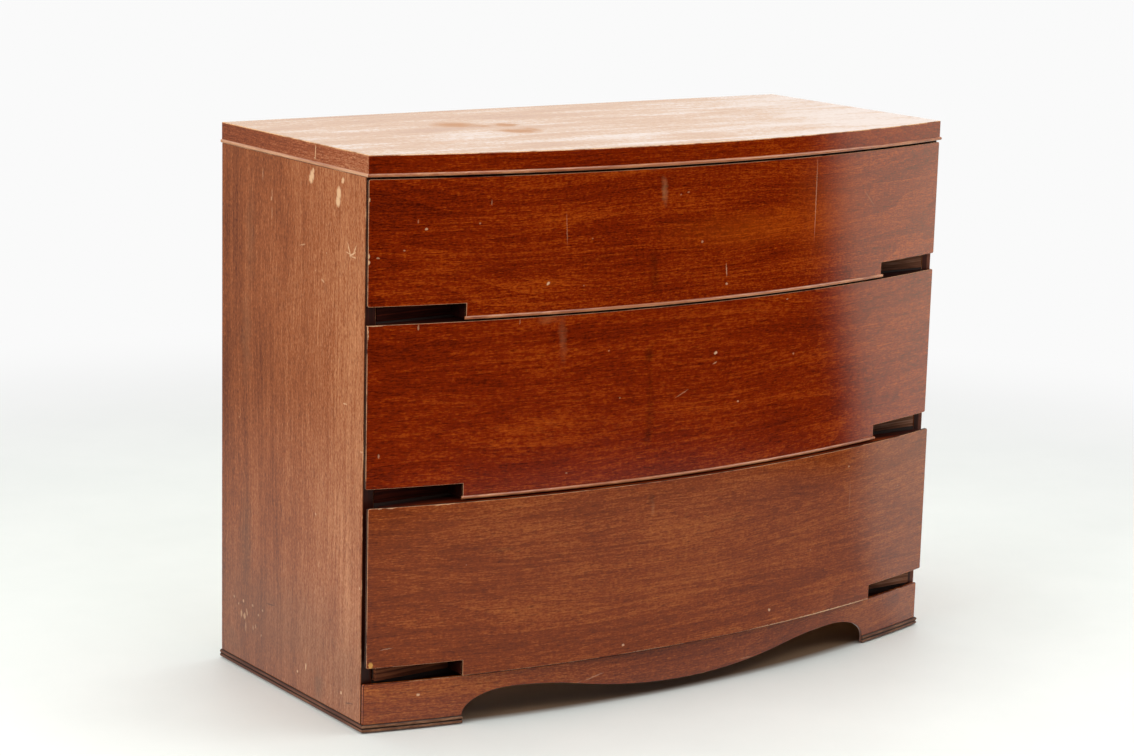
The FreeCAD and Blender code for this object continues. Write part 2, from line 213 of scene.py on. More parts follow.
# matt floor paint: pale, faintly mottled, with no gloss
floor_material, tree = new_material("painted_studio_floor")
where = add(tree, "TexCoord").outputs["Object"]
place = add(tree, "SeparateXYZ", (where,))
x, y = place.outputs["X"], place.outputs["Y"]
distance = add(tree, "VectorMath", (where,), operation="LENGTH")
ray = add(tree, "LightPath")
mottle = add(tree, "TexNoise", {"Vector": where, "Scale": MOTTLE_SCALE, "Detail": 5.0,
                                "Roughness": 0.6})
floor_tone = add(tree, "ValToRGB", (mottle,), stops=two_tones("#ebefea", "#f2f5f0"))
# a painted shadow on the floor under the apron, in a warm bounced tone
from_bow = add(tree, "VectorMath", (where, BOW_CENTRE), operation="DISTANCE")
sideways = add(tree, "Math", (x,), operation="ABSOLUTE")
painted_shadow_share = 1.0
for spot, limits in ((from_bow, UNDER_APRON_SHADOW_START), (sideways, UNDER_APRON_SHADOW_ENDS), (y, UNDER_APRON_SHADOW_BACK)):
    within = add(tree, "MapRange", (spot, *limits))
    painted_shadow_share = add(tree, "Math", (painted_shadow_share, within), operation="MULTIPLY")
deeper = add(tree, "MapRange", (from_bow, *UNDER_APRON_SHADOW_DEPTH))
painted_shadow_tone = add(tree, "ValToRGB", (deeper,), stops=[(0.0, "#8c7058"), (1.0, "#e8b88a")])
floor_tone = add(tree, "Mix", (painted_shadow_share, floor_tone, painted_shadow_tone), **RGBA)
paint = add(tree, "BsdfPrincipled", {"Base Color": floor_tone, "Roughness": 0.55})
white = add(tree, "Emission", {"Color": linear("#fafafa"), "Strength": 1.0})
fade = add(tree, "MapRange", (distance, *FADE), **SMOOTH)
white_share = add(tree, "Math", (fade, ray.outputs["Is Camera Ray"]), operation="MULTIPLY")
painted = add(tree, "MixShader", (white_share, paint, white))
print("floor white from", FADE[1], "m on")

# %% [markdown]
# ## What the lacquer sees of the floor
# Reflections tell lacquer from paint. Lacquer is a weak mirror and shows what stands before it, so
# the floor is given a second face that reflections alone see. Bright lamps could stand there
# instead, but they would also light the wood. Close before the chest this face is dim, beyond a
# step and a half it is black, and to the right, where a window would be, it is bright and a little
# warm. That is why the lowest drawer, which mirrors the near floor, looks browner than the two
# above it, and why the bow turns pale towards the right. Beside and behind the chest it falls off
# more slowly, so the side panel is a little greyer near its foot.

# %% Floor in the lacquer
BEFORE_Y = (-0.25, -0.5)             # y between which the floor before the chest begins
STEP_MIDDLE = (0.22, -0.30, 0.0)     # the near floor ends in an arc about this place,
STEP_REACH = (1.22, 1.48)            # dim inside the first radius and black outside the second
# the window's light lies where WINDOW_SLOPE * x + y + shift is above zero, which is a slanting line
WINDOW_SLOPE = 0.72
WINDOW_SOFTNESS = 0.08               # that sum over the distance, from shade to light
SHIFT_WAY = (1.1, 2.4)               # between these distances the shift goes
SHIFT = (-0.19, -0.37)               # from the first to the second
WINDOW_X = (0.0, 0.5)                # the window stands at the right
WINDOW_WAY = (1.0, 3.5)              # between these distances its light grows and warms,
ASIDE_WAY = (0.9, 2.6)               # and between these the floor beside the chest dims
# light from near to far, in linear numbers, because a window is brighter than white
WINDOW_LIGHT = ((1.1, 1.1, 1.0, 1.0), (1.95, 1.7, 1.3, 1.0))
ASIDE_LIGHT = ((0.75, 0.73, 0.68, 1.0), (0.30, 0.27, 0.23, 1.0))
NEAR_LIGHT = (0.48, 0.46, 0.42, 1.0)
NO_LIGHT = (0.0, 0.0, 0.0, 1.0)

before = add(tree, "MapRange", (y, *BEFORE_Y), **SMOOTH)
ring = add(tree, "VectorMath", (where, STEP_MIDDLE), operation="DISTANCE")
beyond = add(tree, "MapRange", (ring, *STEP_REACH), **SMOOTH)
beyond = add(tree, "Math", (beyond, before), operation="MULTIPLY")
shift = add(tree, "MapRange", (distance, *SHIFT_WAY, *SHIFT))
window = add(tree, "Math", (x, WINDOW_SLOPE, shift), operation="MULTIPLY_ADD")
window = add(tree, "Math", (window, y), operation="ADD")
window = add(tree, "Math", (window, distance), operation="DIVIDE")
window = add(tree, "MapRange", (window, -WINDOW_SOFTNESS, WINDOW_SOFTNESS), **SMOOTH)
right_hand = add(tree, "MapRange", (x, *WINDOW_X))
window = add(tree, "Math", (window, right_hand), operation="MULTIPLY")
far = add(tree, "MapRange", (distance, *WINDOW_WAY))
window_light = add(tree, "Mix", (far, *WINDOW_LIGHT), **RGBA)
away = add(tree, "MapRange", (distance, *ASIDE_WAY))
aside = add(tree, "Mix", (away, *ASIDE_LIGHT), **RGBA)
mirrored = add(tree, "Mix", (before, aside, NEAR_LIGHT), **RGBA)
mirrored = add(tree, "Mix", (beyond, mirrored, NO_LIGHT), **RGBA)
mirrored = add(tree, "Mix", (window, mirrored, window_light), **RGBA)
glow = add(tree, "Emission", {"Color": mirrored, "Strength": 1.0})
surface = add(tree, "MixShader", (ray.outputs["Is Glossy Ray"], painted, glow))
add(tree, "OutputMaterial", {"Surface": surface})
floor_mesh.materials.append(floor_material)
print("nodes of the floor's material:", len(tree.nodes))

# %% [markdown]
# ## World and lamps
# The room is white where it is seen or mirrored, but gives only a little light of its own, so that
# the lamps can shape the piece. Four softboxes do that: one overhead for the top, a large one at
# the left for the side panel, and two that fill the front and the right. A sun lamp would be
# simpler, but its shadow has a hard edge, and a room's has a soft one. Each lamp points from its
# place at its aim.

# %% World
WORLD_LIGHT = 0.15

world = bpy.data.worlds.new("white_room")
bpy.context.scene.world = world
world.use_nodes = True
tree = world.node_tree
tree.nodes.clear()
ray = add(tree, "LightPath")
seen = 0.0
for kind in ("Is Camera Ray", "Is Glossy Ray", "Is Transmission Ray"):
    seen = add(tree, "Math", (seen, ray.outputs[kind]), operation="MAXIMUM")
strength = add(tree, "MapRange", (seen, 0.0, 1.0, WORLD_LIGHT, 1.0))
sky = add(tree, "Background", {"Color": linear("#ffffff"), "Strength": strength})
add(tree, "OutputWorld", {"Surface": sky})
print("world light", WORLD_LIGHT, "and white where it is seen")

# %% Lamps
LAMPS = {
    "overhead_softbox": dict(place=(0.2, 0.3, 3.2), aim=(0.0, 0.0, 0.8), size=(3.2, 2.2), watts=85),
    "left_softbox": dict(place=(-3.0, -0.3, 1.9), aim=(-0.5, 0.0, 0.4), size=(2.2, 2.0), watts=60),
    "front_softbox": dict(place=(0.3, -3.0, 3.6), aim=(0.0, -0.2, 0.4), size=(3.0, 1.6), watts=36),
    "right_softbox": dict(place=(2.4, -1.6, 2.3), aim=(0.3, -0.2, 0.5), size=(2.0, 1.2), watts=26),
}


def softbox(name, place, aim, size, watts):
    """Rectangular area lamp that the camera doesn't see. Columns: across, up, backwards and place.

    Backwards is place minus aim, and across is upright cross backwards, both made one long."""
    lamp = bpy.data.lights.new(name, "AREA")
    lamp.shape = "RECTANGLE"
    lamp.size, lamp.size_y = size
    lamp.energy = watts
    holder = bpy.data.objects.new(name, lamp)
    bpy.context.scene.collection.objects.link(holder)
    backwards = np.array(place) - np.array(aim)
    backwards = backwards / np.linalg.norm(backwards)
    across = np.cross((0.0, 0.0, 1.0), backwards)
    across = across / np.linalg.norm(across)
    matrix = np.eye(4)
    matrix[:3, 0] = across
    matrix[:3, 1] = np.cross(backwards, across)
    matrix[:3, 2] = backwards
    matrix[:3, 3] = place
    holder.matrix_world = matrix.T.tolist()
    holder.visible_camera = False


for lamp_name, facts in LAMPS.items():
    softbox(lamp_name, **facts)
    print(lamp_name, facts["watts"], "W")

# %% [markdown]
# ## How veneer grain is made
# Sliced mahogany shows several things at once. Broad ribbons of light and dark run with the grain,
# a few centimetres wide. Fine fibre lines run in them, and short dark pores lie along the fibres.
# Across the grain the fibres dip in and out of the sheet, which gives a soft mottle that looks like
# watered silk. A Wave texture could draw the lines, but they would be too even. Each layer is the
# same noise stretched differently, described by its length and width in millimetres, and the grain
# wanders a little, which bends the layers together. Real fibres and pores are a fifth of a
# millimetre wide: they are drawn a few times coarser here, so that a picture shows them.

# %% Sheets
QUARTER = math.pi / 2
# how a sheet's own place is turned out of the object's place, and which of its numbers are kept
SHEETS = {
    "front": ((-QUARTER, 0, 0), (1, 0, 1)),           # grain along X on an upright front: x, z
    "side": ((0, QUARTER, 0), (0, 1, 1)),             # upright grain on a side panel: z, y
    "edge": ((-QUARTER, -QUARTER, 0), (0, 1, 1)),     # grain along Y on an upright edge: y, z
    "top": ((0, 0, 0), (1, 1, 0)),                    # grain along X on a level board: x, y
    "along_x": ((0, 0, 0), (1, 1, 1)),                # solid wood, grain along X
    "along_y": ((0, 0, -QUARTER), (1, 1, 1)),         # solid wood, grain along Y
    "along_z": ((0, QUARTER, 0), (1, 1, 1)),          # solid wood, grain upright
}


def sheet_place(tree, sheet):
    """Place on the sheet in millimetres: the first number runs with the grain, the next across."""
    turn, keep = SHEETS[sheet]
    where = add(tree, "TexCoord").outputs["Object"]
    scale = tuple(number / MM for number in keep)
    return add(tree, "Mapping", {"Vector": where, "Rotation": turn, "Scale": scale})


def moved(tree, place, shift):
    """The place plus a shift in millimetres, so that two boards show different parts of the log."""
    return add(tree, "VectorMath", (place, shift), operation="ADD")


print("sheets:", ", ".join(SHEETS))

# %% Grain layers
def layer(tree, place, length, width, detail=2.0, roughness=0.5):
    """Noise stretched to blots of that length with the grain and width across it, in mm."""
    stretch = (1 / length, 1 / width, 1 / width)
    scaled = add(tree, "VectorMath", (place, stretch), operation="MULTIPLY")
    return add(tree, "TexNoise", {"Vector": scaled, "Scale": 1.0, "Detail": detail,
                                  "Roughness": roughness})


def wandered(tree, place, length, width, reach):
    """The place moved across the grain by up to reach mm, by noise of that length and width."""
    drift = layer(tree, place, length, width, 1.0)
    offset = add(tree, "Math", (drift, 2 * reach, -reach), operation="MULTIPLY_ADD")
    return moved(tree, place, add(tree, "CombineXYZ", {"Y": offset}))


def summed(tree, weighted, changes=()):
    """Tone from 0 to 1: 0.5 plus weight * (layer - 0.5) for each layer, plus each change."""
    total = 0.5 - sum(weight for _, weight in weighted) / 2
    for pattern, weight in weighted:
        total = add(tree, "Math", (pattern, weight, total), operation="MULTIPLY_ADD")
    for change in changes:
        total = add(tree, "Math", (total, change), operation="ADD")
    return total


def three_tones(tones, spread):
    """Stops of a colour ramp: dark at spread below 0.5, the middle tone at 0.5, light above it."""
    return [(0.5 - spread, tones[0]), (0.5, tones[1]), (0.5 + spread, tones[2])]


print("three tones spread by 0.25 stand at", [stop for stop, _ in three_tones(("", "", ""), 0.25)])

# %% [markdown]
# ## Marks of use
# Eighty years have left chips, scratches, stains and soil. They could be painted on an image, but
# then they would be only as sharp as its pixels. Here a mark is an ellipse on the sheet: its
# middle, its half length and half width, and its slope, in millimetres and degrees. The place is
# roughened with a little noise first, which breaks the edge of every chip and leaves a scratch
# skipping over the grain. One ellipse needs a Mapping node, its length and a soft threshold, and
# the marks of one colour join by their maximum.

# %% Kinds of mark
# strength is the share of the mark's own colour, ragged is how far its edge is broken and grain is
# how wide the breaks are, both in millimetres, and soft is the share of the half axes that fades
MARK_KINDS = {
    # a chip through stain and lacquer shows the pale wood
    "chips": dict(colour="#e6b88c", strength=0.9, ragged=0.75, grain=3.3, soft=0.3),
    # a chip at a corner of the plywood, where yellow inner sheets show
    "bare": dict(colour="#d79a4a", strength=0.95, ragged=1.0, grain=3.3, soft=0.25),
    # a dent or crack that has filled with dark polish
    "bruises": dict(colour="#1e0702", strength=0.75, ragged=1.0, grain=3.3, soft=0.3),
    # wax that was never rubbed out: a soft warm haze
    "smears": dict(colour="#c08a5c", strength=0.5, ragged=3.0, grain=10.0, soft=0.8),
    # a knot close below the sheet: soft and dark, across the grain
    "knots": dict(colour="#240700", strength=0.6, ragged=3.0, grain=7.0, soft=0.8),
    # a stretch where the stain has faded to amber
    "amber": dict(colour="#c2590c", strength=0.5, ragged=8.0, grain=30.0, soft=0.9),
    # soil that has worked into the open grain
    "soil": dict(colour="#5e4533", strength=0.5, ragged=8.0, grain=16.0, soft=0.6),
    # a glass left standing wet: tan brown, and bite is the share of the lacquer that is gone
    "stains": dict(colour="#98622b", strength=1.0, ragged=5.0, grain=22.0, soft=0.4, bite=0.8),
}
print("kinds of mark:", ", ".join(MARK_KINDS))

# %% Marks on a sheet
PUSH = 4.0        # the noise's swing is about a quarter of one, so this makes it one
THROUGH = 1e6     # half depth of a mark, so that it goes through the board


def mark_mask(tree, place, shapes, ragged, grain, soft):
    """The strength of the strongest mark at each place, and 0 between the marks.

    The place is pushed by noise, moved to the mark's middle, turned by its slope and divided by its
    half axes: then its length is one on the ellipse. The mark fades from 1 - soft to 1 + soft."""
    jitter = add(tree, "TexNoise", {"Vector": place, "Scale": 1 / grain, "Detail": 3.0})
    centred = moved(tree, jitter.outputs["Color"], (-0.5, -0.5, -0.5))
    pushed = add(tree, "VectorMath", (centred, PUSH * ragged), operation="SCALE")
    rough = moved(tree, place, pushed)
    mask = 0.0
    for along, across, half_length, half_width, slope, strength in shapes:
        placed = add(tree, "Mapping", {
            "Vector": rough, "Location": (along, across, 0.0),
            "Rotation": (0.0, 0.0, math.radians(slope)),
            "Scale": (half_length, half_width, THROUGH)}, vector_type="TEXTURE")
        reach = add(tree, "VectorMath", (placed,), operation="LENGTH")
        inside = add(tree, "MapRange", (reach, 1 + soft, 1 - soft, 0.0, strength))
        mask = add(tree, "Math", (mask, inside), operation="MAXIMUM")
    return mask


def tinted(tree, colour, mask, strength, tint):
    """The colour with a share of the tint where the mask is one."""
    share = add(tree, "Math", (mask, strength), operation="MULTIPLY")
    return add(tree, "Mix", (share, colour, linear(tint)), **RGBA)


def marked(tree, place, colour, coat, marks):
    """The colour and the coat's weight after all marks; marks maps a kind to its shapes."""
    for kind, shapes in marks.items():
        facts = MARK_KINDS[kind]
        mask = mark_mask(tree, place, shapes, facts["ragged"], facts["grain"], facts["soft"])
        colour = tinted(tree, colour, mask, facts["strength"], facts["colour"])
        if "bite" in facts:
            coat = add(tree, "MapRange", (mask, 0.0, 1.0, coat, coat * (1 - facts["bite"])))
    return colour, coat


def told(board, marks):
    """Prints how many marks a board has."""
    print("marks on the", board + ":", sum(map(len, marks.values())))


print("a mark's edge is broken by up to", max(k["ragged"] for k in MARK_KINDS.values()), "mm")

# %% [markdown]
# ## Mahogany under satin lacquer
# Mahogany is a brown red wood. The stain in the lacquer makes it deep and clear on the front, and
# the sun has bleached the sides and the top. The lacquer is a thin clear coat rubbed to a satin. A
# single glossy shader could stand for both, but then the grain would shine as the coat does. Wood
# that is soaked with lacquer has no shine of its own, because both bend light alike, so the shader
# is a dull base with a smooth clear coat. On the worn top the lacquer is hazy, and the base gets a
# broad shine too.

# %% Lacquer
LACQUER_IOR = 1.5
COAT_FILLS = 3.0     # lacquer fills the grain by two thirds, so its bump is a third of the wood's
DULL_SWING = 0.1     # how much rougher a low spot of the wood is than a middling one


def lacquered(tree, colour, height, relief, wood_roughness=0.6, wood_shine=0.0, coat=1.0,
              coat_roughness=0.13):
    """Wood below a clear coat: a dull base, a satin coat, and a bump of relief millimetres."""
    bump, coat_bump = (
        add(tree, "Bump", {"Height": height, "Strength": 1.0, "Distance": depth * MM})
        for depth in (relief, relief / COAT_FILLS))
    dull = add(tree, "MapRange", (height, 0.0, 1.0, wood_roughness + DULL_SWING,
                                  wood_roughness - DULL_SWING))
    shader = add(tree, "BsdfPrincipled", {
        "Base Color": colour, "Roughness": dull, "IOR": LACQUER_IOR, "Normal": bump,
        "Specular IOR Level": wood_shine, "Coat Weight": coat, "Coat Roughness": coat_roughness,
        "Coat IOR": LACQUER_IOR, "Coat Normal": coat_bump})
    add(tree, "OutputMaterial", {"Surface": shader})


print("lacquer IOR", LACQUER_IOR)

# %% [markdown]
# ## The leaf
# A veneer is a leaf a millimetre thick, and the way it was cut from the log says which layers show:
# a sliced leaf has rings where the knife grazed them, a quartered one has straight streaks, and one
# peeled from the turning log has wide wavy rings. So a cut is a list of weights, and one function
# makes every leaf. A drift is a slow change of tone from one end of the board to the other.

# %% Layers of a leaf
# length with the grain, width across it, detail and roughness of each layer's noise; fibres, flecks
# and pores are a fifth of a millimetre wide in wood and are coarser here, so that they show
LEAF_LAYERS = {
    "ribbons": (900.0, 34.0, 3.0, 0.5),
    "patches": (190.0, 52.0, 1.0, 0.5),
    "streaks": (330.0, 4.0, 2.0, 0.6),
    "fibres": (18.0, 1.7, 2.0, 0.6),
    "mottle": (6.0, 13.0, 3.0, 0.6),
    "flecks": (5.0, 2.0, 1.0, 0.6),
}
RING_LAYER = (1100.0, 130.0, 1.0)
RING_COUNT = 26.0
# the share of each layer in a leaf, by the way it was cut from the log
SLICED = {"ribbons": 0.3, "patches": 0.45, "rings": 0.13, "streaks": 0.45, "fibres": 0.8,
          "mottle": 0.3, "flecks": 0.7}
QUARTERED = {"ribbons": 0.28, "patches": 0.4, "streaks": 0.52, "fibres": 0.85, "flecks": 0.8}
BLEACHED = {"ribbons": 0.4, "patches": 0.7, "streaks": 0.45, "fibres": 0.45, "mottle": 0.5,
            "flecks": 0.3}
PEELED = {"ribbons": 0.25, "patches": 0.4, "rings": 0.3, "streaks": 0.3, "fibres": 0.5,
          "mottle": 0.3, "flecks": 0.4}


def rings(tree, place):
    """Growth rings that the knife grazed: the fraction left of slow noise times a count."""
    slow = layer(tree, place, *RING_LAYER)
    steps = add(tree, "Math", (slow, RING_COUNT), operation="MULTIPLY")
    return add(tree, "Math", (steps,), operation="FRACT")


def drifted(tree, place, drift):
    """The slow changes of tone along a board, one for each row of drift.

    A row is (axis, start, end, change at the start, change at the end), in millimetres on the
    sheet, where X runs with the grain and Y across it. 0 leaves the tone, more is lighter."""
    spot = add(tree, "SeparateXYZ", (place,))
    return [add(tree, "MapRange", (spot.outputs[axis], *slope)) for axis, *slope in drift]


print("layers of a sliced leaf:", ", ".join(SLICED))

# %% Veneer
LEAF_WANDER = (420.0, 120.0, 16.0)     # length, width and reach of the bends, in millimetres
PORES = (13.0, 1.6, 1.0)
PORE_EDGE = (0.58, 0.70)               # where the noise is above this, there is a pore
PORE_DARKNESS = 0.5
LEAF_RELIEF = 0.05                     # millimetres


def veneer(name, sheet, tones, shift=(0.0, 0.0, 0.0), cut=SLICED, spread=0.32, drift=(), marks=None,
           coat=1.0, **finish):
    """A leaf of veneer under lacquer; tones are its dark, middle and light colours.

    Its tone is the sum of its layers. It reaches the dark and the light colour at spread below and
    above the middle. The bump is the fibres less the pores."""
    material, tree = new_material(name)
    place = sheet_place(tree, sheet)
    leaf = moved(tree, place, shift)
    bent = wandered(tree, leaf, *LEAF_WANDER)
    # the mottle crosses the grain, so it doesn't wander with it
    made = {word: layer(tree, leaf if word == "mottle" else bent, *facts)
            for word, facts in LEAF_LAYERS.items() if word in cut}
    if "rings" in cut:
        made["rings"] = rings(tree, bent)
    changes = drifted(tree, place, drift) if drift else ()
    tone = summed(tree, [(made[word], weight) for word, weight in cut.items()], changes)
    colour = add(tree, "ValToRGB", (tone,), stops=three_tones(tones, spread))
    pores = layer(tree, bent, *PORES)
    pore_mask = add(tree, "MapRange", (pores, *PORE_EDGE))
    colour = tinted(tree, colour, pore_mask, PORE_DARKNESS, tones[0])
    if marks:
        colour, coat = marked(tree, place, colour, coat, marks)
    height = add(tree, "Math", (made["fibres"], pore_mask), operation="SUBTRACT")
    lacquered(tree, colour, height, LEAF_RELIEF, coat=coat, **finish)
    return material


print("pores", PORES[0], "mm long and", PORES[1], "mm wide")

# %% [markdown]
# ## The fronts
# The three drawer faces were cut from leaves that lay on each other in the log, so the same figure
# comes back on each: a dark bar stands across the grain a hand's width left of the middle. Random
# marks would be quicker to make, but on a real front they gather where hands and feet come. So they
# are written board by board, in millimetres from the middle of the chest and from the floor.

# %% Marks on the top drawer
# each mark: x and z of its middle, half length, half width, slope in degrees and strength
TOP_DRAWER_MARKS = {
    "amber": [(95, 728, 110, 20, 0, 0.45), (262, 740, 60, 55, 0, 0.45)],
    "smears": [(-75.6, 796, 4, 15, 6, 0.7)],
    "knots": [(-91, 690, 5, 13, 4, 0.7), (-88, 662, 6, 12, -4, 0.6), (-190, 700, 40, 3, 6, 0.25)],
    "bruises": [(-40, 801, 2.2, 1.2, 0, 0.6), (-28, 797, 2, 1, 0, 0.5)],
    "chips": [
        (-273.7, 667, 2.8, 2, 50, 1), (50, 644, 2.2, 1.8, 0, 0.7), (-1.3, 713, 2, 1.6, 0, 0.5),
        (-244.5, 747, 0.7, 22, 3, 0.25), (48.5, 665.5, 0.8, 9.5, 6, 0.6),
        (234, 765, 0.8, 58, 0, 0.4), (363.5, 753, 0.9, 17, 46, 0.15), (-31, 791, 2.2, 1.2, 0, 0.4),
        (-45, 788, 1.6, 1, 0, 0.3), (-548.5, 719, 1.4, 3.6, 0, 1), (-548.5, 710, 1.6, 3, 0, 1),
        (-548.5, 801, 1.4, 2.6, 0, 1), (-535.1, 716, 2.4, 1, 0, 0.5),
        (-465.1, 756.3, 1.8, 1.6, 0, 0.7), (-497.3, 725.6, 1.3, 1.1, 0, 0.5),
        (-384.1, 761.7, 1.4, 1.2, 0, 0.5), (-366.5, 791.4, 0.8, 4, 0, 0.3),
        (-477.4, 767.4, 0.8, 3, 0, 0.3), (-200.7, 730.3, 1.2, 1, 0, 0.3),
        (-213.7, 660.4, 1.2, 1, 0, 0.3),
    ],
}
told("top drawer", TOP_DRAWER_MARKS)

# %% Marks on the middle drawer
MIDDLE_DRAWER_MARKS = {
    "smears": [(-270.9, 614, 12, 5, 10, 0.35), (-247, 584, 5, 26, 4, 0.3)],
    "knots": [
        (-94, 545, 6, 9, 0, 0.9), (-91, 500, 4, 20, 0, 0.45), (-90, 452, 6, 30, 0, 0.5),
        (-92, 420, 5, 10, 0, 0.8),
    ],
    "bruises": [(-306, 538, 1.6, 1.6, 0, 0.5)],
    "chips": [
        (33, 537, 3, 2.2, 30, 1), (32, 521, 4, 0.9, 20, 0.6), (82, 455, 1.6, 1.4, 0, 0.7),
        (198, 519, 1.6, 1.4, 0, 0.5), (-167, 558, 1.5, 1.2, 0, 0.4), (-235, 375, 1.5, 1.2, 0, 0.4),
        (-145, 483, 1.4, 1, 0, 0.4), (-30.5, 479, 12, 0.8, 24, 0.35), (179, 608, 2, 1.2, 0, 0.5),
        (-531, 423, 1.2, 3, 0, 0.4), (-475, 612, 1, 4, 0, 0.4), (-318, 612, 0.9, 4, 0, 0.3),
        (-549, 606, 1.2, 10, 0, 0.9), (-538, 616.9, 12, 0.8, 0, 0.9),
    ],
}
told("middle drawer", MIDDLE_DRAWER_MARKS)

# %% Marks on the bottom drawer and the apron
BOTTOM_DRAWER_MARKS = {
    "smears": [(-84.4, 306, 3, 8, 0, 0.4)],
    "knots": [(-87, 321, 5, 7, 0, 0.6), (74, 268, 14, 2, 0, 0.5), (-350, 268, 22, 3, 0, 0.4)],
    "bruises": [(330, 204, 1.8, 1.4, 0, 0.5), (438, 286, 1.6, 1.2, 0, 0.4)],
    "chips": [
        (161, 105, 2.4, 2, 0, 0.9), (-131, 93, 2.2, 1.8, 0, 0.8), (335, 316, 1.8, 1.4, 0, 0.6),
        (-400, 250, 1.2, 1, 0, 0.3), (250, 190, 1.2, 1, 0, 0.3), (470, 262, 1.4, 1.2, 0, 0.3),
        (341, 262, 0.9, 26, 0, 0.12), (-520, 131, 9, 0.8, 8, 0.3), (-532.3, 345.9, 3, 0.9, 0, 1),
        # the long strokes at a height of about 79 mm are a painted highlight along the lower arris
        (-516, 345.9, 7, 0.9, 0, 1), (-434, 345.9, 18, 0.8, 0, 0.9), (312, 79.3, 95, 1.2, 0, 1),
        (175, 79.2, 45, 0.9, 0, 0.7), (-90, 79.1, 30, 0.6, 0, 0.5),
    ],
    "bare": [(-543.3, 107.1, 3.4, 4.4, 0, 1)],
}
APRON_MARKS = {
    "bruises": [(452.8, 69.5, 0.9, 8, 4, 0.9)],
    "chips": [
        (-466.7, 52.7, 2.4, 2, 0, 1), (-214, 38, 14, 0.8, 16, 0.3), (-176, 46.5, 16, 1, 14, 0.3),
        (120, 30, 12, 0.9, 0, 0.3),
    ],
}
told("bottom drawer", BOTTOM_DRAWER_MARKS)
told("apron", APRON_MARKS)

# %% [markdown]
# A stained leaf is told by three tones and by how far they spread. The three faces could be written
# out one by one, but they differ only in tones, place in the log and marks, so a table and a loop
# make them. The lowest face and the apron are rubbed browner, because brooms and shoes reach them.
# The leaves follow each other down the log, so each face takes the same figure from its own upper
# edge. The left end of every front stands in shade, and the apron is darker in the middle and paler
# at its feet, most at the right.

# %% Front veneers
FRONT_TONES = ("#4a0d00", "#842200", "#b84f0e")
RUBBED_FRONT_TONES = ("#531b02", "#8a3809", "#be6828")
FACES = {
    "top": dict(tones=FRONT_TONES, spread=0.36, marks=TOP_DRAWER_MARKS),
    "middle": dict(tones=FRONT_TONES, spread=0.46, marks=MIDDLE_DRAWER_MARKS),
    "bottom": dict(tones=RUBBED_FRONT_TONES, spread=0.48, marks=BOTTOM_DRAWER_MARKS),
}
FIGURE_TOP = 700.0     # height in the log at which the upper edge of each face was cut
LEAF_STEP = 9.0        # how much deeper in the log the next leaf lies
SHADED_LEFT_END = [("X", -550.0, -460.0, -0.12, 0.0)]
PALE_FEET_DARK_MIDDLE = [("X", -430.0, -200.0, 0.06, -0.12), ("X", 200.0, 430.0, 0.0, 0.18)]

# mahogany, sliced and stained: deep red brown ribbons with fine dark pores under a satin gloss
face_veneers = {}
for index, (level, facts) in enumerate(FACES.items()):
    shift = (0.0, FIGURE_TOP - face_boxes[level][1].z / MM, LEAF_STEP * index)
    face_veneers[level] = veneer(level + "_face_mahogany_sliced_veneer", "front", shift=shift,
                                 drift=SHADED_LEFT_END, **facts)
# the same on the apron: browner, with pale feet and a dark middle
apron_veneer = veneer("apron_mahogany_sliced_veneer", "front", RUBBED_FRONT_TONES,
                      (60.0, 70.0, 44.0), spread=0.42, drift=PALE_FEET_DARK_MIDDLE, marks=APRON_MARKS)
# the same on the bowed edge of the top: a narrow band of the red, a little duller
slab_front_veneer = veneer("slab_front_mahogany_veneer", "front", FRONT_TONES, (300.0, 90.0, 70.0),
                           spread=0.45, drift=SHADED_LEFT_END, coat=0.8)
print("front veneers:", len(face_veneers) + 2)
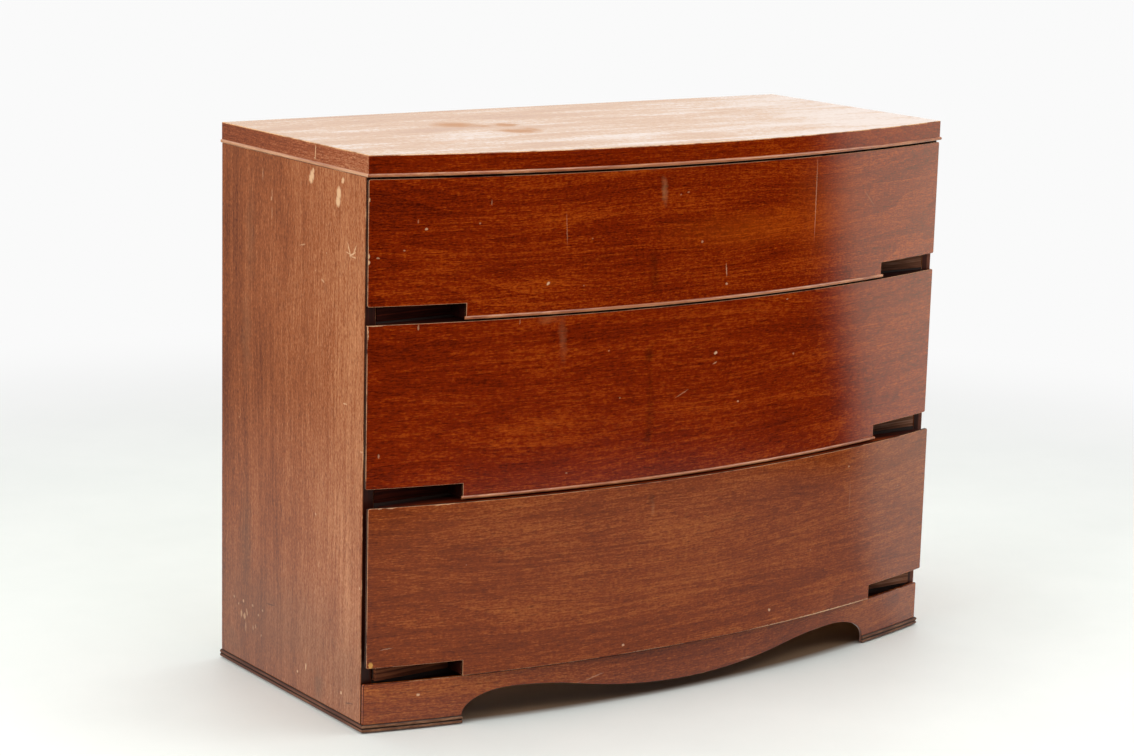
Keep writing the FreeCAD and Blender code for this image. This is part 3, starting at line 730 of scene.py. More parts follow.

# %% [markdown]
# ## The sides and the top
# A side panel is quartered: the leaf was cut towards the heart of the log, and its fibres run
# upright in straight streaks. The same rows of marks serve it, but the first number is now the
# height and the second is y. The top is laid with a plain leaf that sun and wet glasses have
# bleached to a pinkish tan, so its tones lie close together and its lacquer is hazy. On top of
# that, slopes of tone are painted light. The side panels and the ends of the top are paler at the
# front and darker towards the back, where the lamp's light falls off. The top is lighter towards
# the right, where a window's light falls, and towards the front. This could be one more noise, but
# light changes slowly, so a drift does it: a straight slope of tone.

# %% Marks on the left side
# each mark: z and y of its middle, and then as on the fronts
SIDE_MARKS = {
    "soil": [
        (200, 183, 90, 16, 0, 0.6), (540, 183, 60, 12, 0, 0.5), (41, -47, 24, 16, 0, 0.9),
        (700, 170, 60, 12, 0, 0.4), (105, 60, 70, 230, 0, 0.5), (110, 195, 90, 60, 0, 0.4),
        (80, -120, 60, 60, 0, 0.5), (40, 225, 30, 40, 0, 0.6),
    ],
    "bruises": [(128, 103, 0.9, 13, 6, 0.8), (36, -137, 0.9, 12, 12, 0.7)],
    "chips": [
        (817, -17, 7, 4.6, 20, 1), (811, -13, 6.5, 4.8, 20, 1), (824, -20, 4, 3, 0, 0.9),
        (820, -105, 4.5, 3.4, -20, 0.9), (800, -94, 9, 5.6, 0, 1), (788, -92, 7.6, 6, 0, 1),
        (781, -93, 2.6, 1.4, 0, 0.5), (800, 131.7, 9, 0.9, 0, 0.5), (774, 103, 7, 0.8, 0, 0.5),
        (766, 105, 3, 1.6, 0, 0.5), (745, 103, 9, 0.8, 0, 0.4), (720, -125, 12, 1.1, 26, 0.9),
        (716, -134, 1.2, 9, 24, 0.9), (724, -141, 8, 1, -30, 0.8), (716, -121, 1, 6, -10, 0.6),
        (712, -137, 1, 7, 0, 0.7), (709, 11, 0.8, 8, 12, 0.5), (707, -60, 1.4, 1.4, 0, 0.5),
        (664, -50, 1.6, 5, -20, 0.5), (676, -28, 1.4, 1.4, 0, 0.4), (491, -117, 1, 5, 0, 0.7),
        (428, -165, 1.4, 4, 0, 0.5), (408, 204, 1.6, 1.2, 0, 0.4), (305, -34, 1.8, 1.6, 0, 0.6),
        (228, -45, 5, 1, 0, 0.4), (208, -30, 4, 1, 12, 0.3), (221, -164, 2, 1.5, 0, 0.5),
        (58, -8, 5, 1.6, 0, 0.8), (43, 17.7, 2.2, 1.8, 0, 0.8), (46, -113.7, 2.6, 2, 0, 0.9),
        (112, 220, 2, 3, 0, 0.4), (112, 190, 2.4, 1.8, 0, 0.7), (104, 205, 2, 1.4, 0, 0.5),
        (112, 160, 2.2, 2.4, 0, 0.4), (96, 178, 6, 1.6, 14, 0.5), (112, 128, 2, 1.6, 0, 0.5),
        (90, 196, 6, 2.4, 0, 0.5), (88, 186, 5, 3.4, 0, 0.5), (101, 141, 2, 1.6, 0, 0.5),
        (80, 150, 3.5, 1.4, 0, 0.4), (76, 158, 4, 1.6, 8, 0.4), (70, 132, 2, 1.4, 0, 0.4),
        (72, 182, 8, 2, 0, 0.3),
    ],
}
told("left side", SIDE_MARKS)

# %% Marks on the right side and the top
RIGHT_SIDE_MARKS = {
    "soil": [(105, 60, 70, 230, 0, 0.4), (95, -130, 50, 40, 0, 0.4)],
    "bruises": [(412, 36, 1, 16, -8, 0.6)],
    "chips": [
        (806, 62, 4, 2.6, 0, 0.9), (640, -88, 9, 0.8, 12, 0.5), (377, -160, 2, 3.4, 0, 0.7),
        (91, -30, 3, 1.8, 0, 0.7), (84, 140, 5, 1.4, 30, 0.5), (520, 151, 1.4, 6, 20, 0.3),
    ],
}
# on the end of the top y comes before z, and on the top x before y
SLAB_SIDE_MARKS = {
    "chips": [(-25.7, 852, 1.2, 10, 4, 0.8), (-24, 843, 2.6, 1.2, 0, 0.6)],
    "bruises": [(-145, 836, 6, 1.2, -12, 0.9)],
}
TOP_MARKS = {
    "stains": [
        (-235, 88, 31, 29, -22, 1), (-210, 66, 12, 12, -22, 0.7), (-158, 56, 20, 21, -22, 1),
        (-185, -18, 30, 22, -22, 1), (-153, -10, 10, 20, 0, 0.8), (-199, 56, 12, 12, -22, 0.8),
        (-378, -100, 12, 7, 40, 0.3), (-330, -112, 14, 6, 0, 0.25),
    ],
    "smears": [(-342, -86, 22, 10, 30, 0.3)],
    "bruises": [
        (318, 21, 8, 1.6, 50, 0.3), (348, 8, 9, 1.8, -20, 0.25), (201, -13, 6, 1, 45, 0.35),
        (-430, 28, 1.6, 4, 0, 0.3),
    ],
}
told("right side", RIGHT_SIDE_MARKS)
told("left edge of the top", SLAB_SIDE_MARKS)
told("top", TOP_MARKS)

# %% Side and top veneers
SIDE_TONES = ("#622c15", "#9a522a", "#c48257")
SLAB_SIDE_TONES = ("#642a16", "#964b28", "#c07f58")
TOP_TONES = ("#925c1a", "#a5753e", "#c1ad9f")
# painted light: paler at the front, where the lamp is near, and on the top towards the window at
# the right
PAINTED_LIGHT_FRONT_EDGE = [("Y", -176.0, 250.0, 0.16, -0.18)]
PAINTED_LIGHT_RIM = [("X", -176.0, 250.0, 0.1, -0.2)]
PAINTED_LIGHT_RIGHT_FRONT = [("X", 50.0, 550.0, 0.0, 0.28), ("Y", -400.0, 400.0, 0.13, -0.13)]

# mahogany, quartered: upright fibres in brown, with painted light paler and pinker at the front
# edge
quartered = dict(cut=QUARTERED, spread=0.42)
side_veneer = veneer("side_mahogany_quartered_veneer", "side", SIDE_TONES, (0.0, 0.0, 110.0),
                     drift=PAINTED_LIGHT_FRONT_EDGE, marks=SIDE_MARKS, **quartered)
right_side_veneer = veneer("right_side_mahogany_quartered_veneer", "side", SIDE_TONES,
                           (400.0, 30.0, 560.0), drift=PAINTED_LIGHT_FRONT_EDGE, marks=RIGHT_SIDE_MARKS,
                           **quartered)
# the same on the two ends of the top: a narrow band with its grain along the edge
# its drift paints light: paler towards the front, darker towards the back
slab_side_veneer = veneer("slab_side_mahogany_veneer", "edge", SLAB_SIDE_TONES, (0.0, 40.0, 160.0),
                          drift=PAINTED_LIGHT_RIM, marks=SLAB_SIDE_MARKS, **quartered)
slab_right_veneer = veneer("slab_right_mahogany_veneer", "edge", SLAB_SIDE_TONES,
                           (200.0, 10.0, 360.0), drift=PAINTED_LIGHT_RIM, **quartered)
# mahogany, bleached: pinkish tan in pale bands, under a hazy lacquer with a broad soft shine
# the top's drift paints light: lighter towards the right and towards the front
top_veneer = veneer("top_mahogany_bleached_veneer", "top", TOP_TONES, (0.0, 0.0, 210.0), BLEACHED,
                    spread=0.24, drift=PAINTED_LIGHT_RIGHT_FRONT, marks=TOP_MARKS, wood_shine=0.4,
                    wood_roughness=0.5, coat=0.8, coat_roughness=0.25)
print("materials so far:", len(bpy.data.materials))

# %% [markdown]
# ## Woods below the veneer
# The beads are solid mahogany polished by every hand that has opened a drawer, and their pale tones
# are partly a painted highlight. The boards behind the faces are stained dark, and darker still as
# painted shade, and the insides were never finished at all. Planed boards show wide bands of early
# and late wood, fine fibres and some soil. The veneer's function could serve them too, but a planed
# board has fewer layers, and a shorter one is easier to tune. It also does two more things. It
# draws grooves as dark lines, which are dirt and painted shade together. And it turns its tones
# towards others along one axis: painted light and shade across a board behind a face, and a darker
# front end on a drawer's side.

# %% Plain woods
BOARD_WANDER = (300.0, 70.0, 12.0)
BOARD_SPREAD = 0.4
BAND_LENGTH = 900.0
BOARD_FIBRES = (40.0, 1.6, 3.0, 0.6)   # coarser than real fibres, so that a picture shows them
BOARD_SOIL = (120.0, 90.0, 3.0)
BOARD_WEIGHTS = (1.3, 0.8, 0.7)        # of the bands, the fibres and the soil
GROOVE_DIRT_SHADE_START, GROOVE_DIRT_SHADE_THICK = 2.0, 0.6      # millimetres from a groove
GROOVE_DIRT_SHADE_STRENGTH = 0.85


def own_place(tree, axis):
    """How far along one axis of the object a place on it lies, in metres."""
    where = add(tree, "TexCoord").outputs["Object"]
    return add(tree, "SeparateXYZ", (where,)).outputs[axis]


def plain_wood(name, sheet, tones, band=14.0, shift=(0.0, 0.0, 0.0), dirty_shaded_grooves=(), towards=None,
               relief=0.06, **finish):
    """Planed board: bands of early and late wood as wide as band millimetres, fibres and soil.

    Grooves at the given heights in millimetres are drawn dark, as dirt and painted shade. towards
    is (axis, start, end, far tones): the tones change to the far tones between start and end, in
    metres."""
    material, tree = new_material(name)
    place = sheet_place(tree, sheet)
    bent = wandered(tree, moved(tree, place, shift), *BOARD_WANDER)
    bands = layer(tree, bent, BAND_LENGTH, band, 2.0)
    fibres = layer(tree, bent, *BOARD_FIBRES)
    soil = layer(tree, place, *BOARD_SOIL)
    tone = summed(tree, list(zip((bands, fibres, soil), BOARD_WEIGHTS)))
    colour = add(tree, "ValToRGB", (tone,), stops=three_tones(tones, BOARD_SPREAD))
    if towards:
        axis, start, end, far_tones = towards
        far = add(tree, "ValToRGB", (tone,), stops=three_tones(far_tones, BOARD_SPREAD))
        share = add(tree, "MapRange", (own_place(tree, axis), start, end))
        colour = add(tree, "Mix", (share, colour, far), **RGBA)
    # a groove darkened: dirt, and painted shade in the crease
    for height in dirty_shaded_grooves:
        away = add(tree, "Math", (own_place(tree, "Z"), height * MM), operation="SUBTRACT")
        away = add(tree, "Math", (away,), operation="ABSOLUTE")
        near = add(tree, "MapRange", (away, GROOVE_DIRT_SHADE_START * MM, GROOVE_DIRT_SHADE_THICK * MM))
        colour = tinted(tree, colour, near, GROOVE_DIRT_SHADE_STRENGTH, "#160803")
    lacquered(tree, colour, fibres, relief, **finish)
    return material


print("bands of a plain board:", BAND_LENGTH, "mm long")

# %% Finishes of plain woods
# bare wood, matt stain, and lacquer that has been rubbed through
RAW = dict(coat=0.0, wood_shine=0.3, wood_roughness=0.65)
MATT = dict(coat=0.0, wood_shine=0.08, wood_roughness=0.7)
RUBBED = dict(coat=0.5, coat_roughness=0.35)
print("weight of the coat: bare", RAW["coat"], "matt", MATT["coat"], "rubbed", RUBBED["coat"])

# %% [markdown]
# ## Rubbed arrises
# An arris is rubbed pale where hands and dusters reach it and keeps its stain between those places.
# A pale line of one colour would look drawn, so a slow noise decides where the wood is bare, and a
# fine one gives both tones their fibres.

# %% Rubbed arrises
ARRIS_FIBRE = 2.5       # millimetres, coarser than real fibres, so that a picture shows them
BARE_STRETCH = 62.5     # millimetres
BARE_SWING = 0.36       # how far the share of bare wood moves the threshold of the noise
BARE_EDGE = 0.05
ARRIS_RELIEF = 0.03
ARRIS_FINISH = dict(coat=0.4, coat_roughness=0.35)
DARK_STAIN = ("#3a1406", "#5c2410")
BARE = ("#b4784e", "#dca67c")


def rubbed_arris(name, stained, bare, share):
    """Stained wood, bare where slow noise is above a threshold; share is how much of it is bare.

    The threshold is 0.5 + BARE_SWING * (0.5 - share). stained and bare are a dark and a light
    colour each."""
    material, tree = new_material(name)
    where = add(tree, "TexCoord").outputs["Object"]
    fibres = add(tree, "TexNoise", {"Vector": where, "Scale": 1 / (ARRIS_FIBRE * MM),
                                    "Detail": 3.0})
    stretches = add(tree, "TexNoise", {"Vector": where, "Scale": 1 / (BARE_STRETCH * MM),
                                       "Detail": 5.0, "Roughness": 0.65})
    bare_wood, stained_wood = (add(tree, "ValToRGB", (fibres,), stops=two_tones(*tones))
                               for tones in (bare, stained))
    edge = 0.5 + BARE_SWING * (0.5 - share)
    rubbed = add(tree, "MapRange", (stretches, edge - BARE_EDGE, edge + BARE_EDGE))
    colour = add(tree, "Mix", (rubbed, stained_wood, bare_wood), **RGBA)
    lacquered(tree, colour, fibres, ARRIS_RELIEF, **ARRIS_FINISH)
    return material


# mahogany arris, stained and rubbed with dusters: a broken pale line along an edge
face_arris = rubbed_arris("face_arris_mahogany_rubbed", DARK_STAIN, BARE, 0.7)
# the same on the side panels, which hands reach less: pale ticks
side_arris = rubbed_arris("side_arris_mahogany_rubbed", ("#6a3418", "#8a4c28"), BARE, 0.35)
# the same on the top, where it is rubbed most
slab_arris = rubbed_arris("top_arris_mahogany_rubbed", ("#7a4420", "#a0683c"),
                          ("#b88050", "#dcb084"), 0.6)
# the same on the scroll of the apron: a dark line with a few kicks
apron_arris = rubbed_arris("apron_arris_mahogany_kicked", DARK_STAIN, BARE, 0.25)
print("stretches of bare arris:", BARE_STRETCH, "mm long")

# %% [markdown]
# ## Edges, beads and mouldings
# Each of these runs along one axis, so its material only needs the right sheet. The groove beside a
# bead and the three grooves of the base moulding are drawn as dark lines: gathered polish and dust,
# and painted shade in the crease. A second material on the faces in the groove would end at their
# borders, so the dark line is a soft band round the height of each groove.

# %% Edges, beads and mouldings
BEAD_GROOVE = (832.4,)             # heights of grooves in millimetres
BASE_GROOVES = (1.5, 7.5, 13.5)
THIN_BAND = 6.0                    # a bead is so thin that it shows only narrow bands
PANEL_EDGE_TONES = ("#1c0602", "#2e0c04", "#441609")
LIT_EDGE_TONES = ("#4c2216", "#6c3a2a", "#8a5440")
BEAD_TONES = ("#843c20", "#b0683e", "#d08e62")
SIDE_BEAD_TONES = ("#96583a", "#c48a62", "#e4b48e")
MOULDING_TONES = ("#3c1c10", "#663a28", "#986a4e")
FOOT_MOULDING_TONES = ("#45200f", "#75492f", "#a87c5c")

# edge of moulded plywood, stained dark: thin layers that hardly show
ply_edge = plain_wood("face_edge_plywood_stained_dark", "along_x",
                      ("#180602", "#2c0e04", "#48200e"), band=1.6, **RUBBED)
# edge of a side panel, stained dark: painted shade near black at the left, painted light at the
# right
dark_edge = plain_wood("panel_edge_mahogany_stained_painted_light", "along_z", PANEL_EDGE_TONES, band=8.0,
                       towards=("X", 0.541, 0.5435, LIT_EDGE_TONES), **RUBBED)
# solid mahogany bead, moulded and polished by hands: its thin pale tones are partly a painted
# highlight
bead_wood = plain_wood("bead_mahogany_moulded_along_x", "along_x", BEAD_TONES, THIN_BAND)
# the beads along the sides are paler still: more of their tone is painted highlight
side_bead_wood = plain_wood("bead_mahogany_moulded_along_y", "along_y", SIDE_BEAD_TONES, THIN_BAND,
                            dirty_shaded_grooves=BEAD_GROOVE)
top_bead_wood = plain_wood("top_bead_mahogany_moulded", "along_x", BEAD_TONES, THIN_BAND,
                           dirty_shaded_grooves=BEAD_GROOVE)
# base moulding, kicked and swept against: pale ridges, black grooves of dirt and painted shade
side_moulding_wood = plain_wood("base_moulding_mahogany_along_y", "along_y", MOULDING_TONES,
                                THIN_BAND, dirty_shaded_grooves=BASE_GROOVES, **RUBBED)
foot_moulding_wood = plain_wood("base_moulding_mahogany_along_x", "along_x", FOOT_MOULDING_TONES,
                                THIN_BAND, dirty_shaded_grooves=BASE_GROOVES, **RUBBED)
print("grooves of the base moulding at", BASE_GROOVES, "mm")

# %% [markdown]
# ## Behind the faces
# A box front shows in the finger notches. It is gum, a plain wood that takes stain unevenly, and
# its tones carry painted light: near black in the shade at the left, and grey brown where light
# falls in at the right. The boards that close the hollow behind a face are stained dark and painted
# almost black as shade, except along the front of the open drawer's cap, where the stain ran
# orange; behind that edge the cap is painted black as shade. Two materials on one board would meet
# in a hard line, so one material goes from its own tones towards others.

# %% Stained boards behind the faces
GUM_TONES = ("#160301", "#340c03", "#561c0a")
GREY_GUM_TONES = ("#240f09", "#4b2415", "#7a452a")
# painted light: the box fronts turn to these tones at the right, where light falls in
LIT_GUM_TONES = ("#3e1e12", "#82543e", "#bc907a")
# painted shade: the open cap turns to these tones behind its front edge
SHADED_CAP_TONES = ("#120301", "#2c0802", "#4c1606")
GUM_BAND, SEGMENT_BAND = 3.0, 10.0

# gum, stained, strong open grain: painted shade red black at left, painted light grey brown at
# right
box_front_wood = plain_wood("box_front_gum_stained", "front", GUM_TONES, GUM_BAND,
                            towards=("X", 0.36, 0.50, LIT_GUM_TONES), **MATT)
low_box_front_wood = plain_wood("low_box_front_gum_stained", "front", GREY_GUM_TONES, GUM_BAND,
                                towards=("X", 0.36, 0.48, LIT_GUM_TONES), **MATT)
# segment boards, stained dark and painted brown black as shade: matt
shaded_core_wood = plain_wood("segment_board_stained_painted_shade", "along_x", ("#100301", "#220602", "#380e04"),
                       SEGMENT_BAND, **MATT)
# the cap of the open drawer, stained orange along the front edge, painted black as shade behind it
open_cap_wood = plain_wood("segment_board_stained_orange_painted_shade", "along_x",
                           ("#5e1a05", "#8a3009", "#b4541a"), SEGMENT_BAND,
                           towards=("Y", -0.235, -0.190, SHADED_CAP_TONES), **MATT)
print("materials so far:", len(bpy.data.materials))

# %% [markdown]
# ## Bare woods of the carcase
# Nobody sees the boxes and the frames with the drawers shut, so they were left as the plane or the
# saw left them: hard maple where wood slides on wood, yellow poplar for the frames, birch plywood
# for the wide sheets. One pale wood could serve for all, but an open drawer is made of all three,
# and it is their difference that says which is which. They have no coat, and look dry beside
# lacquer.

# %% Bare woods
MAPLE_TONES = ("#a88457", "#c4a273", "#d8bc90")
DARK_END_MAPLE_TONES = ("#1c0e08", "#2c180e", "#402414")
POPLAR_TONES = ("#8f7a52", "#b39b70", "#c9b48a")
BIRCH_TONES = ("#a07a4c", "#c09c6c", "#d6b88c")
BACK_BIRCH_TONES = ("#8e683a", "#b58f5f", "#cdac7e")

# hard maple, planed and never finished: even and pale, near black towards its front end
box_side_wood = plain_wood("box_side_maple_planed", "along_y", DARK_END_MAPLE_TONES,
                           towards=("Y", -0.160, -0.135, MAPLE_TONES), **RAW)
box_back_wood = plain_wood("box_back_maple_planed", "front", MAPLE_TONES, shift=(90.0, 40.0, 5.0),
                           **RAW)
# yellow poplar, sawn: a dull greenish yellow
rail_wood = plain_wood("rail_poplar_sawn", "along_x", POPLAR_TONES, **RAW)
runner_wood = plain_wood("runner_poplar_sawn", "along_y", POPLAR_TONES, **RAW)
# the same, stained dark, and near black as painted shade where front rails show between drawers
front_rail_wood = plain_wood("front_rail_poplar_stained_painted_shade", "along_x",
                             ("#120603", "#200e07", "#301a10"), **RAW)
# birch plywood, peeled from the log: wide wavy rings, a dry matt face
sheet_birch = veneer("drawer_bottom_birch_rotary_cut", "top", BIRCH_TONES, (0.0, 0.0, 300.0),
                     PEELED, **RAW)
back_birch = veneer("back_birch_rotary_cut", "front", BACK_BIRCH_TONES, (0.0, 0.0, 420.0), PEELED,
                    **RAW)
print("materials so far:", len(bpy.data.materials))

# %% [markdown]
# ## Steel
# The glides under the side panels and the screws in the back are mild steel, never plated. One tone
# would look like plastic, so a fine speckle moves the colour and the roughness together: where the
# steel has tarnished it is darker and duller.

# %% Steel
SPECK = 1.0 / 0.9        # millimetres, coarser than real tarnish, so that a picture shows it
SPECK_RELIEF = 0.02
SPECK_SWING = 0.25       # how much smoother a bright speck is than a dark one


def mild_steel(name, dark, bright, roughest):
    """Bare steel: specks between two tones, rougher where they are darker."""
    material, tree = new_material(name)
    where = add(tree, "TexCoord").outputs["Object"]
    specks = add(tree, "TexNoise", {"Vector": where, "Scale": 1 / (SPECK * MM), "Detail": 4.0})
    tarnish = add(tree, "ValToRGB", (specks,), stops=two_tones(dark, bright))
    dulled = add(tree, "MapRange", (specks, 0.0, 1.0, roughest, roughest - SPECK_SWING))
    bump = add(tree, "Bump", {"Height": specks, "Strength": 1.0, "Distance": SPECK_RELIEF * MM})
    steel = add(tree, "BsdfPrincipled", {"Base Color": tarnish, "Metallic": 1.0,
                                         "Roughness": dulled, "Normal": bump})
    add(tree, "OutputMaterial", {"Surface": steel})
    return material


# pressed glides, scuffed on floors: dull grey with brighter specks
glide_steel = mild_steel("glide_steel_pressed", "#77736c", "#b3b0a9", 0.55)
# screw heads, blued once and browned by rust: dark, with little shine
screw_steel = mild_steel("screw_steel_browned", "#3c2c22", "#7c7268", 0.65)
print("steels:", glide_steel.name, screw_steel.name)

# %% [markdown]
# ## Easing the arrises
# A sharp edge looks like a drawing. On a real board each arris is broken with a stroke of sandpaper
# and then rubbed paler by hands. A bump could fake that, but only geometry catches the light and
# the outline. Each visible board is copied, its loose triangles are merged, coplanar ones are
# dissolved, and a Bevel modifier rounds every edge sharper than 30 degrees. The modifier gives its
# new faces a second material, so the wear follows the edge exactly. The copy stands for the CAD
# node.

# %% Merged copies
MERGE_DISTANCE = 0.002     # millimetres
FACE_MERGE = 1.2           # millimetres, for the bowed faces, whose arcs are cut finely
FLAT_ANGLE = math.radians(0.05)
STALE_LAYERS = ("custom_normal", "sharp_edge", "sharp_face")


def merged_copy(node, materials, merge):
    """The CAD node's mesh with doubles merged and flat parts dissolved, plus the given materials.

    Points closer than merge millimetres then become one, so that no edge is shorter than its
    arris is wide."""
    mesh = nodes[node].data.copy()
    work = bmesh.new()
    work.from_mesh(mesh)
    bmesh.ops.remove_doubles(work, verts=work.verts, dist=MERGE_DISTANCE * MM)
    bmesh.ops.dissolve_limit(work, angle_limit=FLAT_ANGLE, verts=work.verts, edges=work.edges)
    bmesh.ops.remove_doubles(work, verts=work.verts, dist=merge * MM)
    work.to_mesh(mesh)
    work.free()
    for name in STALE_LAYERS:
        if name in mesh.attributes:
            mesh.attributes.remove(mesh.attributes[name])
    mesh.materials.clear()
    for material in materials:
        mesh.materials.append(material)
    return mesh


print("points merge within", MERGE_DISTANCE, "mm, on the faces within", FACE_MERGE, "mm")

# %% Eased boards
ARRIS_ANGLE = math.radians(30)
ARRIS_SEGMENTS = 2
ARRIS_SLOT = 1          # the second material of a board is its arris
NORMAL_WEIGHT = 100     # the large flat faces alone decide how the surface is shaded


def eased(node, width, materials, body, sort=None, merge=MERGE_DISTANCE, change=None):
    """A merged copy of a CAD node with arrises rounded to width millimetres.

    sort gives each face its material by its normal. change takes the merged mesh and gives back
    another one."""
    mesh = merged_copy(node, materials, merge)
    if change:
        mesh = change(mesh)
    if sort:
        normals = np.zeros(3 * len(mesh.polygons))
        mesh.polygons.foreach_get("normal", normals)
        kinds = sort(normals.reshape(-1, 3)).astype(np.int32)
        mesh.polygons.foreach_set("material_index", kinds)
    piece = bpy.data.objects.new(node + "_eased", mesh)
    bpy.context.scene.collection.objects.link(piece)
    if width:
        bevel = piece.modifiers.new("arris", "BEVEL")
        bevel.width = width * MM
        bevel.segments = ARRIS_SEGMENTS
        bevel.limit_method = "ANGLE"
        bevel.angle_limit = ARRIS_ANGLE
        bevel.use_clamp_overlap = False
        bevel.material = ARRIS_SLOT
    mesh.shade_smooth()
    mesh.set_sharp_from_angle(angle=ARRIS_ANGLE)
    weighted = piece.modifiers.new("normals", "WEIGHTED_NORMAL")
    weighted.weight = NORMAL_WEIGHT
    weighted.keep_sharp = True
    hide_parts(node)
    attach(piece, body)


print("arrises sharper than", round(math.degrees(ARRIS_ANGLE)), "degrees are eased")

# %% [markdown]
# The faces of a board are sorted by the way they look, so that the edge of a top can have its own
# leaf. Painting the material onto each face by hand would do as well, but it would have to be done
# again after every change of the board. A normal is a face's direction: -Y looks forwards, +Z up.

# %% Leaves by the way a face looks
LEAF, EDGE = 0, 2                  # slots of a board's leaf and its edge; the arris is between
CLEARLY, SQUARELY = 0.5, 0.9       # a face looks a way when its normal points that far to it
LEVEL, UPRIGHT = 0.999, 0.02       # the arris of the top was turned in CAD and lies between these
SLAB_SLOTS = [LEAF, EDGE, 3, 4, 5]  # level faces of the top, its front, left, right and back


def show_and_edges(normals):
    """The leaf on faces that look forwards, the edge's wood on the rest."""
    return np.where(normals[:, 1] < -CLEARLY, LEAF, EDGE)


def panel_and_edges(normals):
    """The edge's wood on the edges that look forwards and backwards, the leaf on the rest."""
    return np.where(np.abs(normals[:, 1]) > SQUARELY, EDGE, LEAF)


def slab_leaves(normals):
    """The leaf on level faces, others in front, left, right and behind, and the arris between."""
    x, y, z = normals.T
    level, upright = np.abs(z) > LEVEL, np.abs(z) < UPRIGHT
    kinds = [level, upright & (y < -CLEARLY), upright & (x < -SQUARELY), upright & (x > SQUARELY),
             y > SQUARELY]
    return np.select(kinds, SLAB_SLOTS, default=ARRIS_SLOT)


print("woods on the top:", len(SLAB_SLOTS) + 1)

# %% The boards that show
# width of each arris in millimetres; the top has none here, because it was turned in CAD
ARRISES = {"face": 0.5, "cap": 0.5, "rib": 0.5, "box_front": 0.6, "side": 0.9, "apron": 0.8}

for level in LEVELS:
    drawer = level + "_drawer"
    cap_wood = open_cap_wood if level == "bottom" else shaded_core_wood
    front_wood = low_box_front_wood if level == "bottom" else box_front_wood
    eased(drawer + "_face", ARRISES["face"], [face_veneers[level], face_arris, ply_edge], drawer,
          show_and_edges, FACE_MERGE)
    for board, wood, slot in (("cap", cap_wood, "stained_core"), ("rib", shaded_core_wood, "stained_core"),
                              ("box_front", front_wood, "box_wood")):
        eased(drawer + "_" + board, ARRISES[board], [wood, wood], drawer)
slab_woods = [top_veneer, slab_arris, slab_front_veneer, slab_side_veneer, slab_right_veneer,
              rail_wood]
eased("top_panel", 0, slab_woods, "case", slab_leaves)
for side, leaf in (("side_left", side_veneer), ("side_right", right_side_veneer)):
    eased(side, ARRISES["side"], [leaf, side_arris, dark_edge], "case",
          panel_and_edges)
eased("apron", ARRISES["apron"], [apron_veneer, apron_arris], "case")

# %% [markdown]
# ## The screws in the back
# The back is a sheet of plywood that closes the case and keeps it square. Slotted steel screws hold
# it to the upper three rails and to the rebates of the side panels. Their heads lie a little below
# the face, each in a round hole that the screw has pulled for itself. The holes could be bumps, but
# a low light from the side would show the trick, so they are cut from the board with one set of
# pins. A head is a grid: its columns stand across the slot, and a column at distance u from the
# slot's middle line runs from minus to plus the root of (r squared - u squared), which gives a true
# circle and straight slot walls at once.

# %% Places of the screws
BACK_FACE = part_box("back_panel")[1].y / MM
RAILS = ("back_rail_lower", "back_rail_upper", "back_rail_top")
RAIL_SCREWS_X = (-360.0, -120.0, 120.0, 360.0)
SIDE_SCREWS_X = (-535.0, 535.0)

rail_heights = [(low.z + high.z) / 2 / MM for low, high in map(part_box, RAILS)]
side_heights = (100.0, 215.0, *rail_heights, 475.0, 710.0)
screw_places = np.array([(x, z) for z in rail_heights for x in RAIL_SCREWS_X]
                        + [(x, z) for x in SIDE_SCREWS_X for z in side_heights])
print("screws in the back:", len(screw_places))

# %% Holes for the screws
HOLE_RADIUS = 4.5
HOLE_DEPTH = 1.1
HOLE_SIDES = 24


def hole_pins():
    """A closed pin at each screw: two circles, HOLE_DEPTH inside and outside the back's face."""
    turn = np.linspace(0.0, 2 * math.pi, HOLE_SIDES, endpoint=False)
    x, z = HOLE_RADIUS * np.cos(turn), HOLE_RADIUS * np.sin(turn)
    pin = np.stack([np.stack([x, np.full(HOLE_SIDES, BACK_FACE + reach), z], axis=1)
                    for reach in (-HOLE_DEPTH, HOLE_DEPTH)])
    shift = np.stack([screw_places[:, 0], 0 * screw_places[:, 0], screw_places[:, 1]], axis=1)
    points = (pin[None] + shift[:, None, None]).reshape(-1, 3) * MM
    here = np.arange(HOLE_SIDES)
    after = (here + 1) % HOLE_SIDES
    wall = np.stack([here, here + HOLE_SIDES, after + HOLE_SIDES, after], axis=1).tolist()
    outline = wall + [here.tolist(), (here + HOLE_SIDES)[::-1].tolist()]
    faces = [[corner + 2 * HOLE_SIDES * index for corner in face]
             for index in range(len(screw_places)) for face in outline]
    mesh = bpy.data.meshes.new("pins")
    mesh.from_pydata(points.tolist(), [], faces)
    return mesh


def bored(mesh):
    """The back board less the pins: a flat-bottomed round hole at each screw."""
    pins_mesh = hole_pins()
    board, pins = bpy.data.objects.new("board", mesh), bpy.data.objects.new("pins", pins_mesh)
    for helper in (board, pins):
        bpy.context.scene.collection.objects.link(helper)
    cut = board.modifiers.new("holes", "BOOLEAN")
    cut.object = pins
    cut.solver = "EXACT"
    depsgraph = bpy.context.evaluated_depsgraph_get()
    holed = bpy.data.meshes.new_from_object(board.evaluated_get(depsgraph))
    for helper in (board, pins):
        bpy.data.objects.remove(helper)
    bpy.data.meshes.remove(pins_mesh)
    print("faces of the back board:", len(mesh.polygons), "before the holes,",
          len(holed.polygons), "after")
    return holed


eased("back_panel", 0, [back_birch], "case", change=bored)

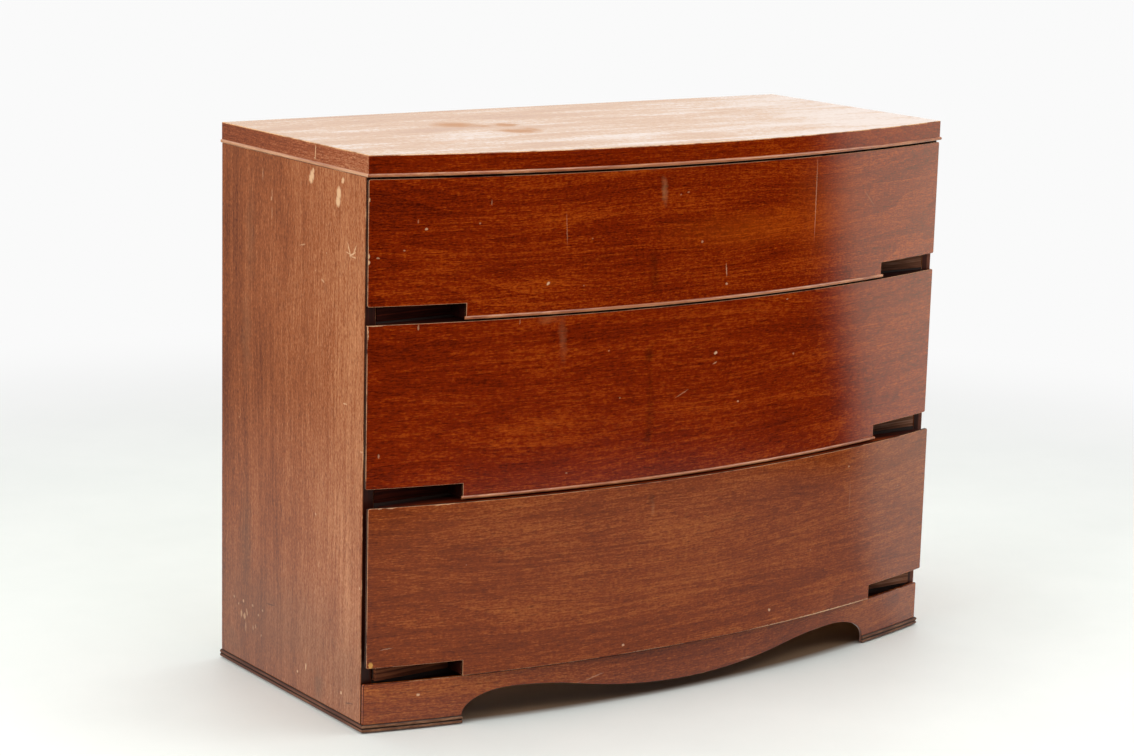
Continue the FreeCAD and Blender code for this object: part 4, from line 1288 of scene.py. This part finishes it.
# %% Screw heads
HEAD_RADIUS = 4.0
HEAD_SUNK = 0.35                     # the head's face lies this far below the board's
HEAD_FOOT = 2.0                      # and its underside this far, out of sight
HEAD_COLUMNS = (2.2, 3.2, 3.8)       # columns between the slot and the rim
HEAD_STEPS = 7                       # points in a column
SLOT_HALF = 0.5
SLOT_DRAFT = 0.05                    # a slot's wall leans this much, because its tool is tapered
SLOT_DEPTH = 0.55
TURN_FIRST, TURN_STEP = 0.7, 2.4     # radians: each slot has stopped at a turn of its own


def screw_heads(name, places, material):
    """Closed slotted heads, one at each place.

    At u across the slot a loop runs along v from minus to plus root (radius squared - u squared)
    on the face, deeper by SLOT_DEPTH inside the slot, and back on the underside."""
    half = np.array([SLOT_HALF, SLOT_HALF + SLOT_DRAFT, *HEAD_COLUMNS, HEAD_RADIUS])
    u = np.concatenate([-half[::-1], half])
    in_slot = np.abs(u) <= SLOT_HALF
    reach = np.sqrt(HEAD_RADIUS ** 2 - u ** 2)
    steps = np.linspace(-1.0, 1.0, HEAD_STEPS)
    v = reach[:, None] * np.concatenate([steps, steps[::-1]])
    low = np.concatenate([np.zeros(HEAD_STEPS), np.ones(HEAD_STEPS)])
    depth = (HEAD_SUNK + SLOT_DEPTH * in_slot[:, None]) * (1 - low) + HEAD_FOOT * low
    turn = TURN_FIRST + TURN_STEP * np.arange(len(places))[:, None, None]
    x = places[:, 0, None, None] + u[:, None] * np.cos(turn) - v * np.sin(turn)
    z = places[:, 1, None, None] + u[:, None] * np.sin(turn) + v * np.cos(turn)
    y = np.broadcast_to(BACK_FACE - depth, x.shape)
    points = np.stack([x, y, z], axis=-1).reshape(-1, 3) * MM
    grid = np.arange(x.size).reshape(x.shape)
    here, there = grid[:, :-1], grid[:, 1:]
    quads = np.stack([here, np.roll(here, -1, axis=2), np.roll(there, -1, axis=2), there], axis=-1)
    mesh = bpy.data.meshes.new(name)
    mesh.from_pydata(points.tolist(), [], quads.reshape(-1, 4).tolist())
    work = bmesh.new()
    work.from_mesh(mesh)
    bmesh.ops.remove_doubles(work, verts=work.verts, dist=MERGE_DISTANCE * MM)
    bmesh.ops.recalc_face_normals(work, faces=work.faces)
    work.to_mesh(mesh)
    work.free()
    mesh.materials.append(material)
    heads = bpy.data.objects.new(name, mesh)
    bpy.context.scene.collection.objects.link(heads)
    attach(heads, "case")
    return heads


heads = screw_heads("back_screws", screw_places, screw_steel)
print("faces of the heads:", len(heads.data.polygons))

# %% [markdown]
# ## Finishes of the other boards
# The boards that are only seen with a drawer open, and the beads and mouldings, which have their
# shape already, keep their CAD meshes. They only need a wood, and a word in a board's name says
# which. A table of words is shorter than a table of boards, and a board without a word is named.

# %% Finishes of the other boards
WOODS = {
    "top_bead_left": side_bead_wood, "top_bead_right": side_bead_wood,
    "top_bead_front": top_bead_wood, "bead": bead_wood,
    "foot_moulding": foot_moulding_wood, "side_moulding": side_moulding_wood,
    "dust_panel": sheet_birch, "drawer_bottom": sheet_birch,
    "back_rail": rail_wood, "foot_blocks": rail_wood, "front_rail": front_rail_wood,
    "runner": runner_wood, "kicker": runner_wood, "apron_core": shaded_core_wood,
    "drawer_side": box_side_wood, "drawer_back": box_back_wood, "glides": glide_steel,
}
finished = 0
for name, node in nodes.items():
    if not node.hide_render:
        word = next((word for word in WOODS if word in name), None)
        if word:
            node.material_slots[0].material = WOODS[word]
            finished += 1
        else:
            print("no finish for", name)
print("boards finished:", finished)
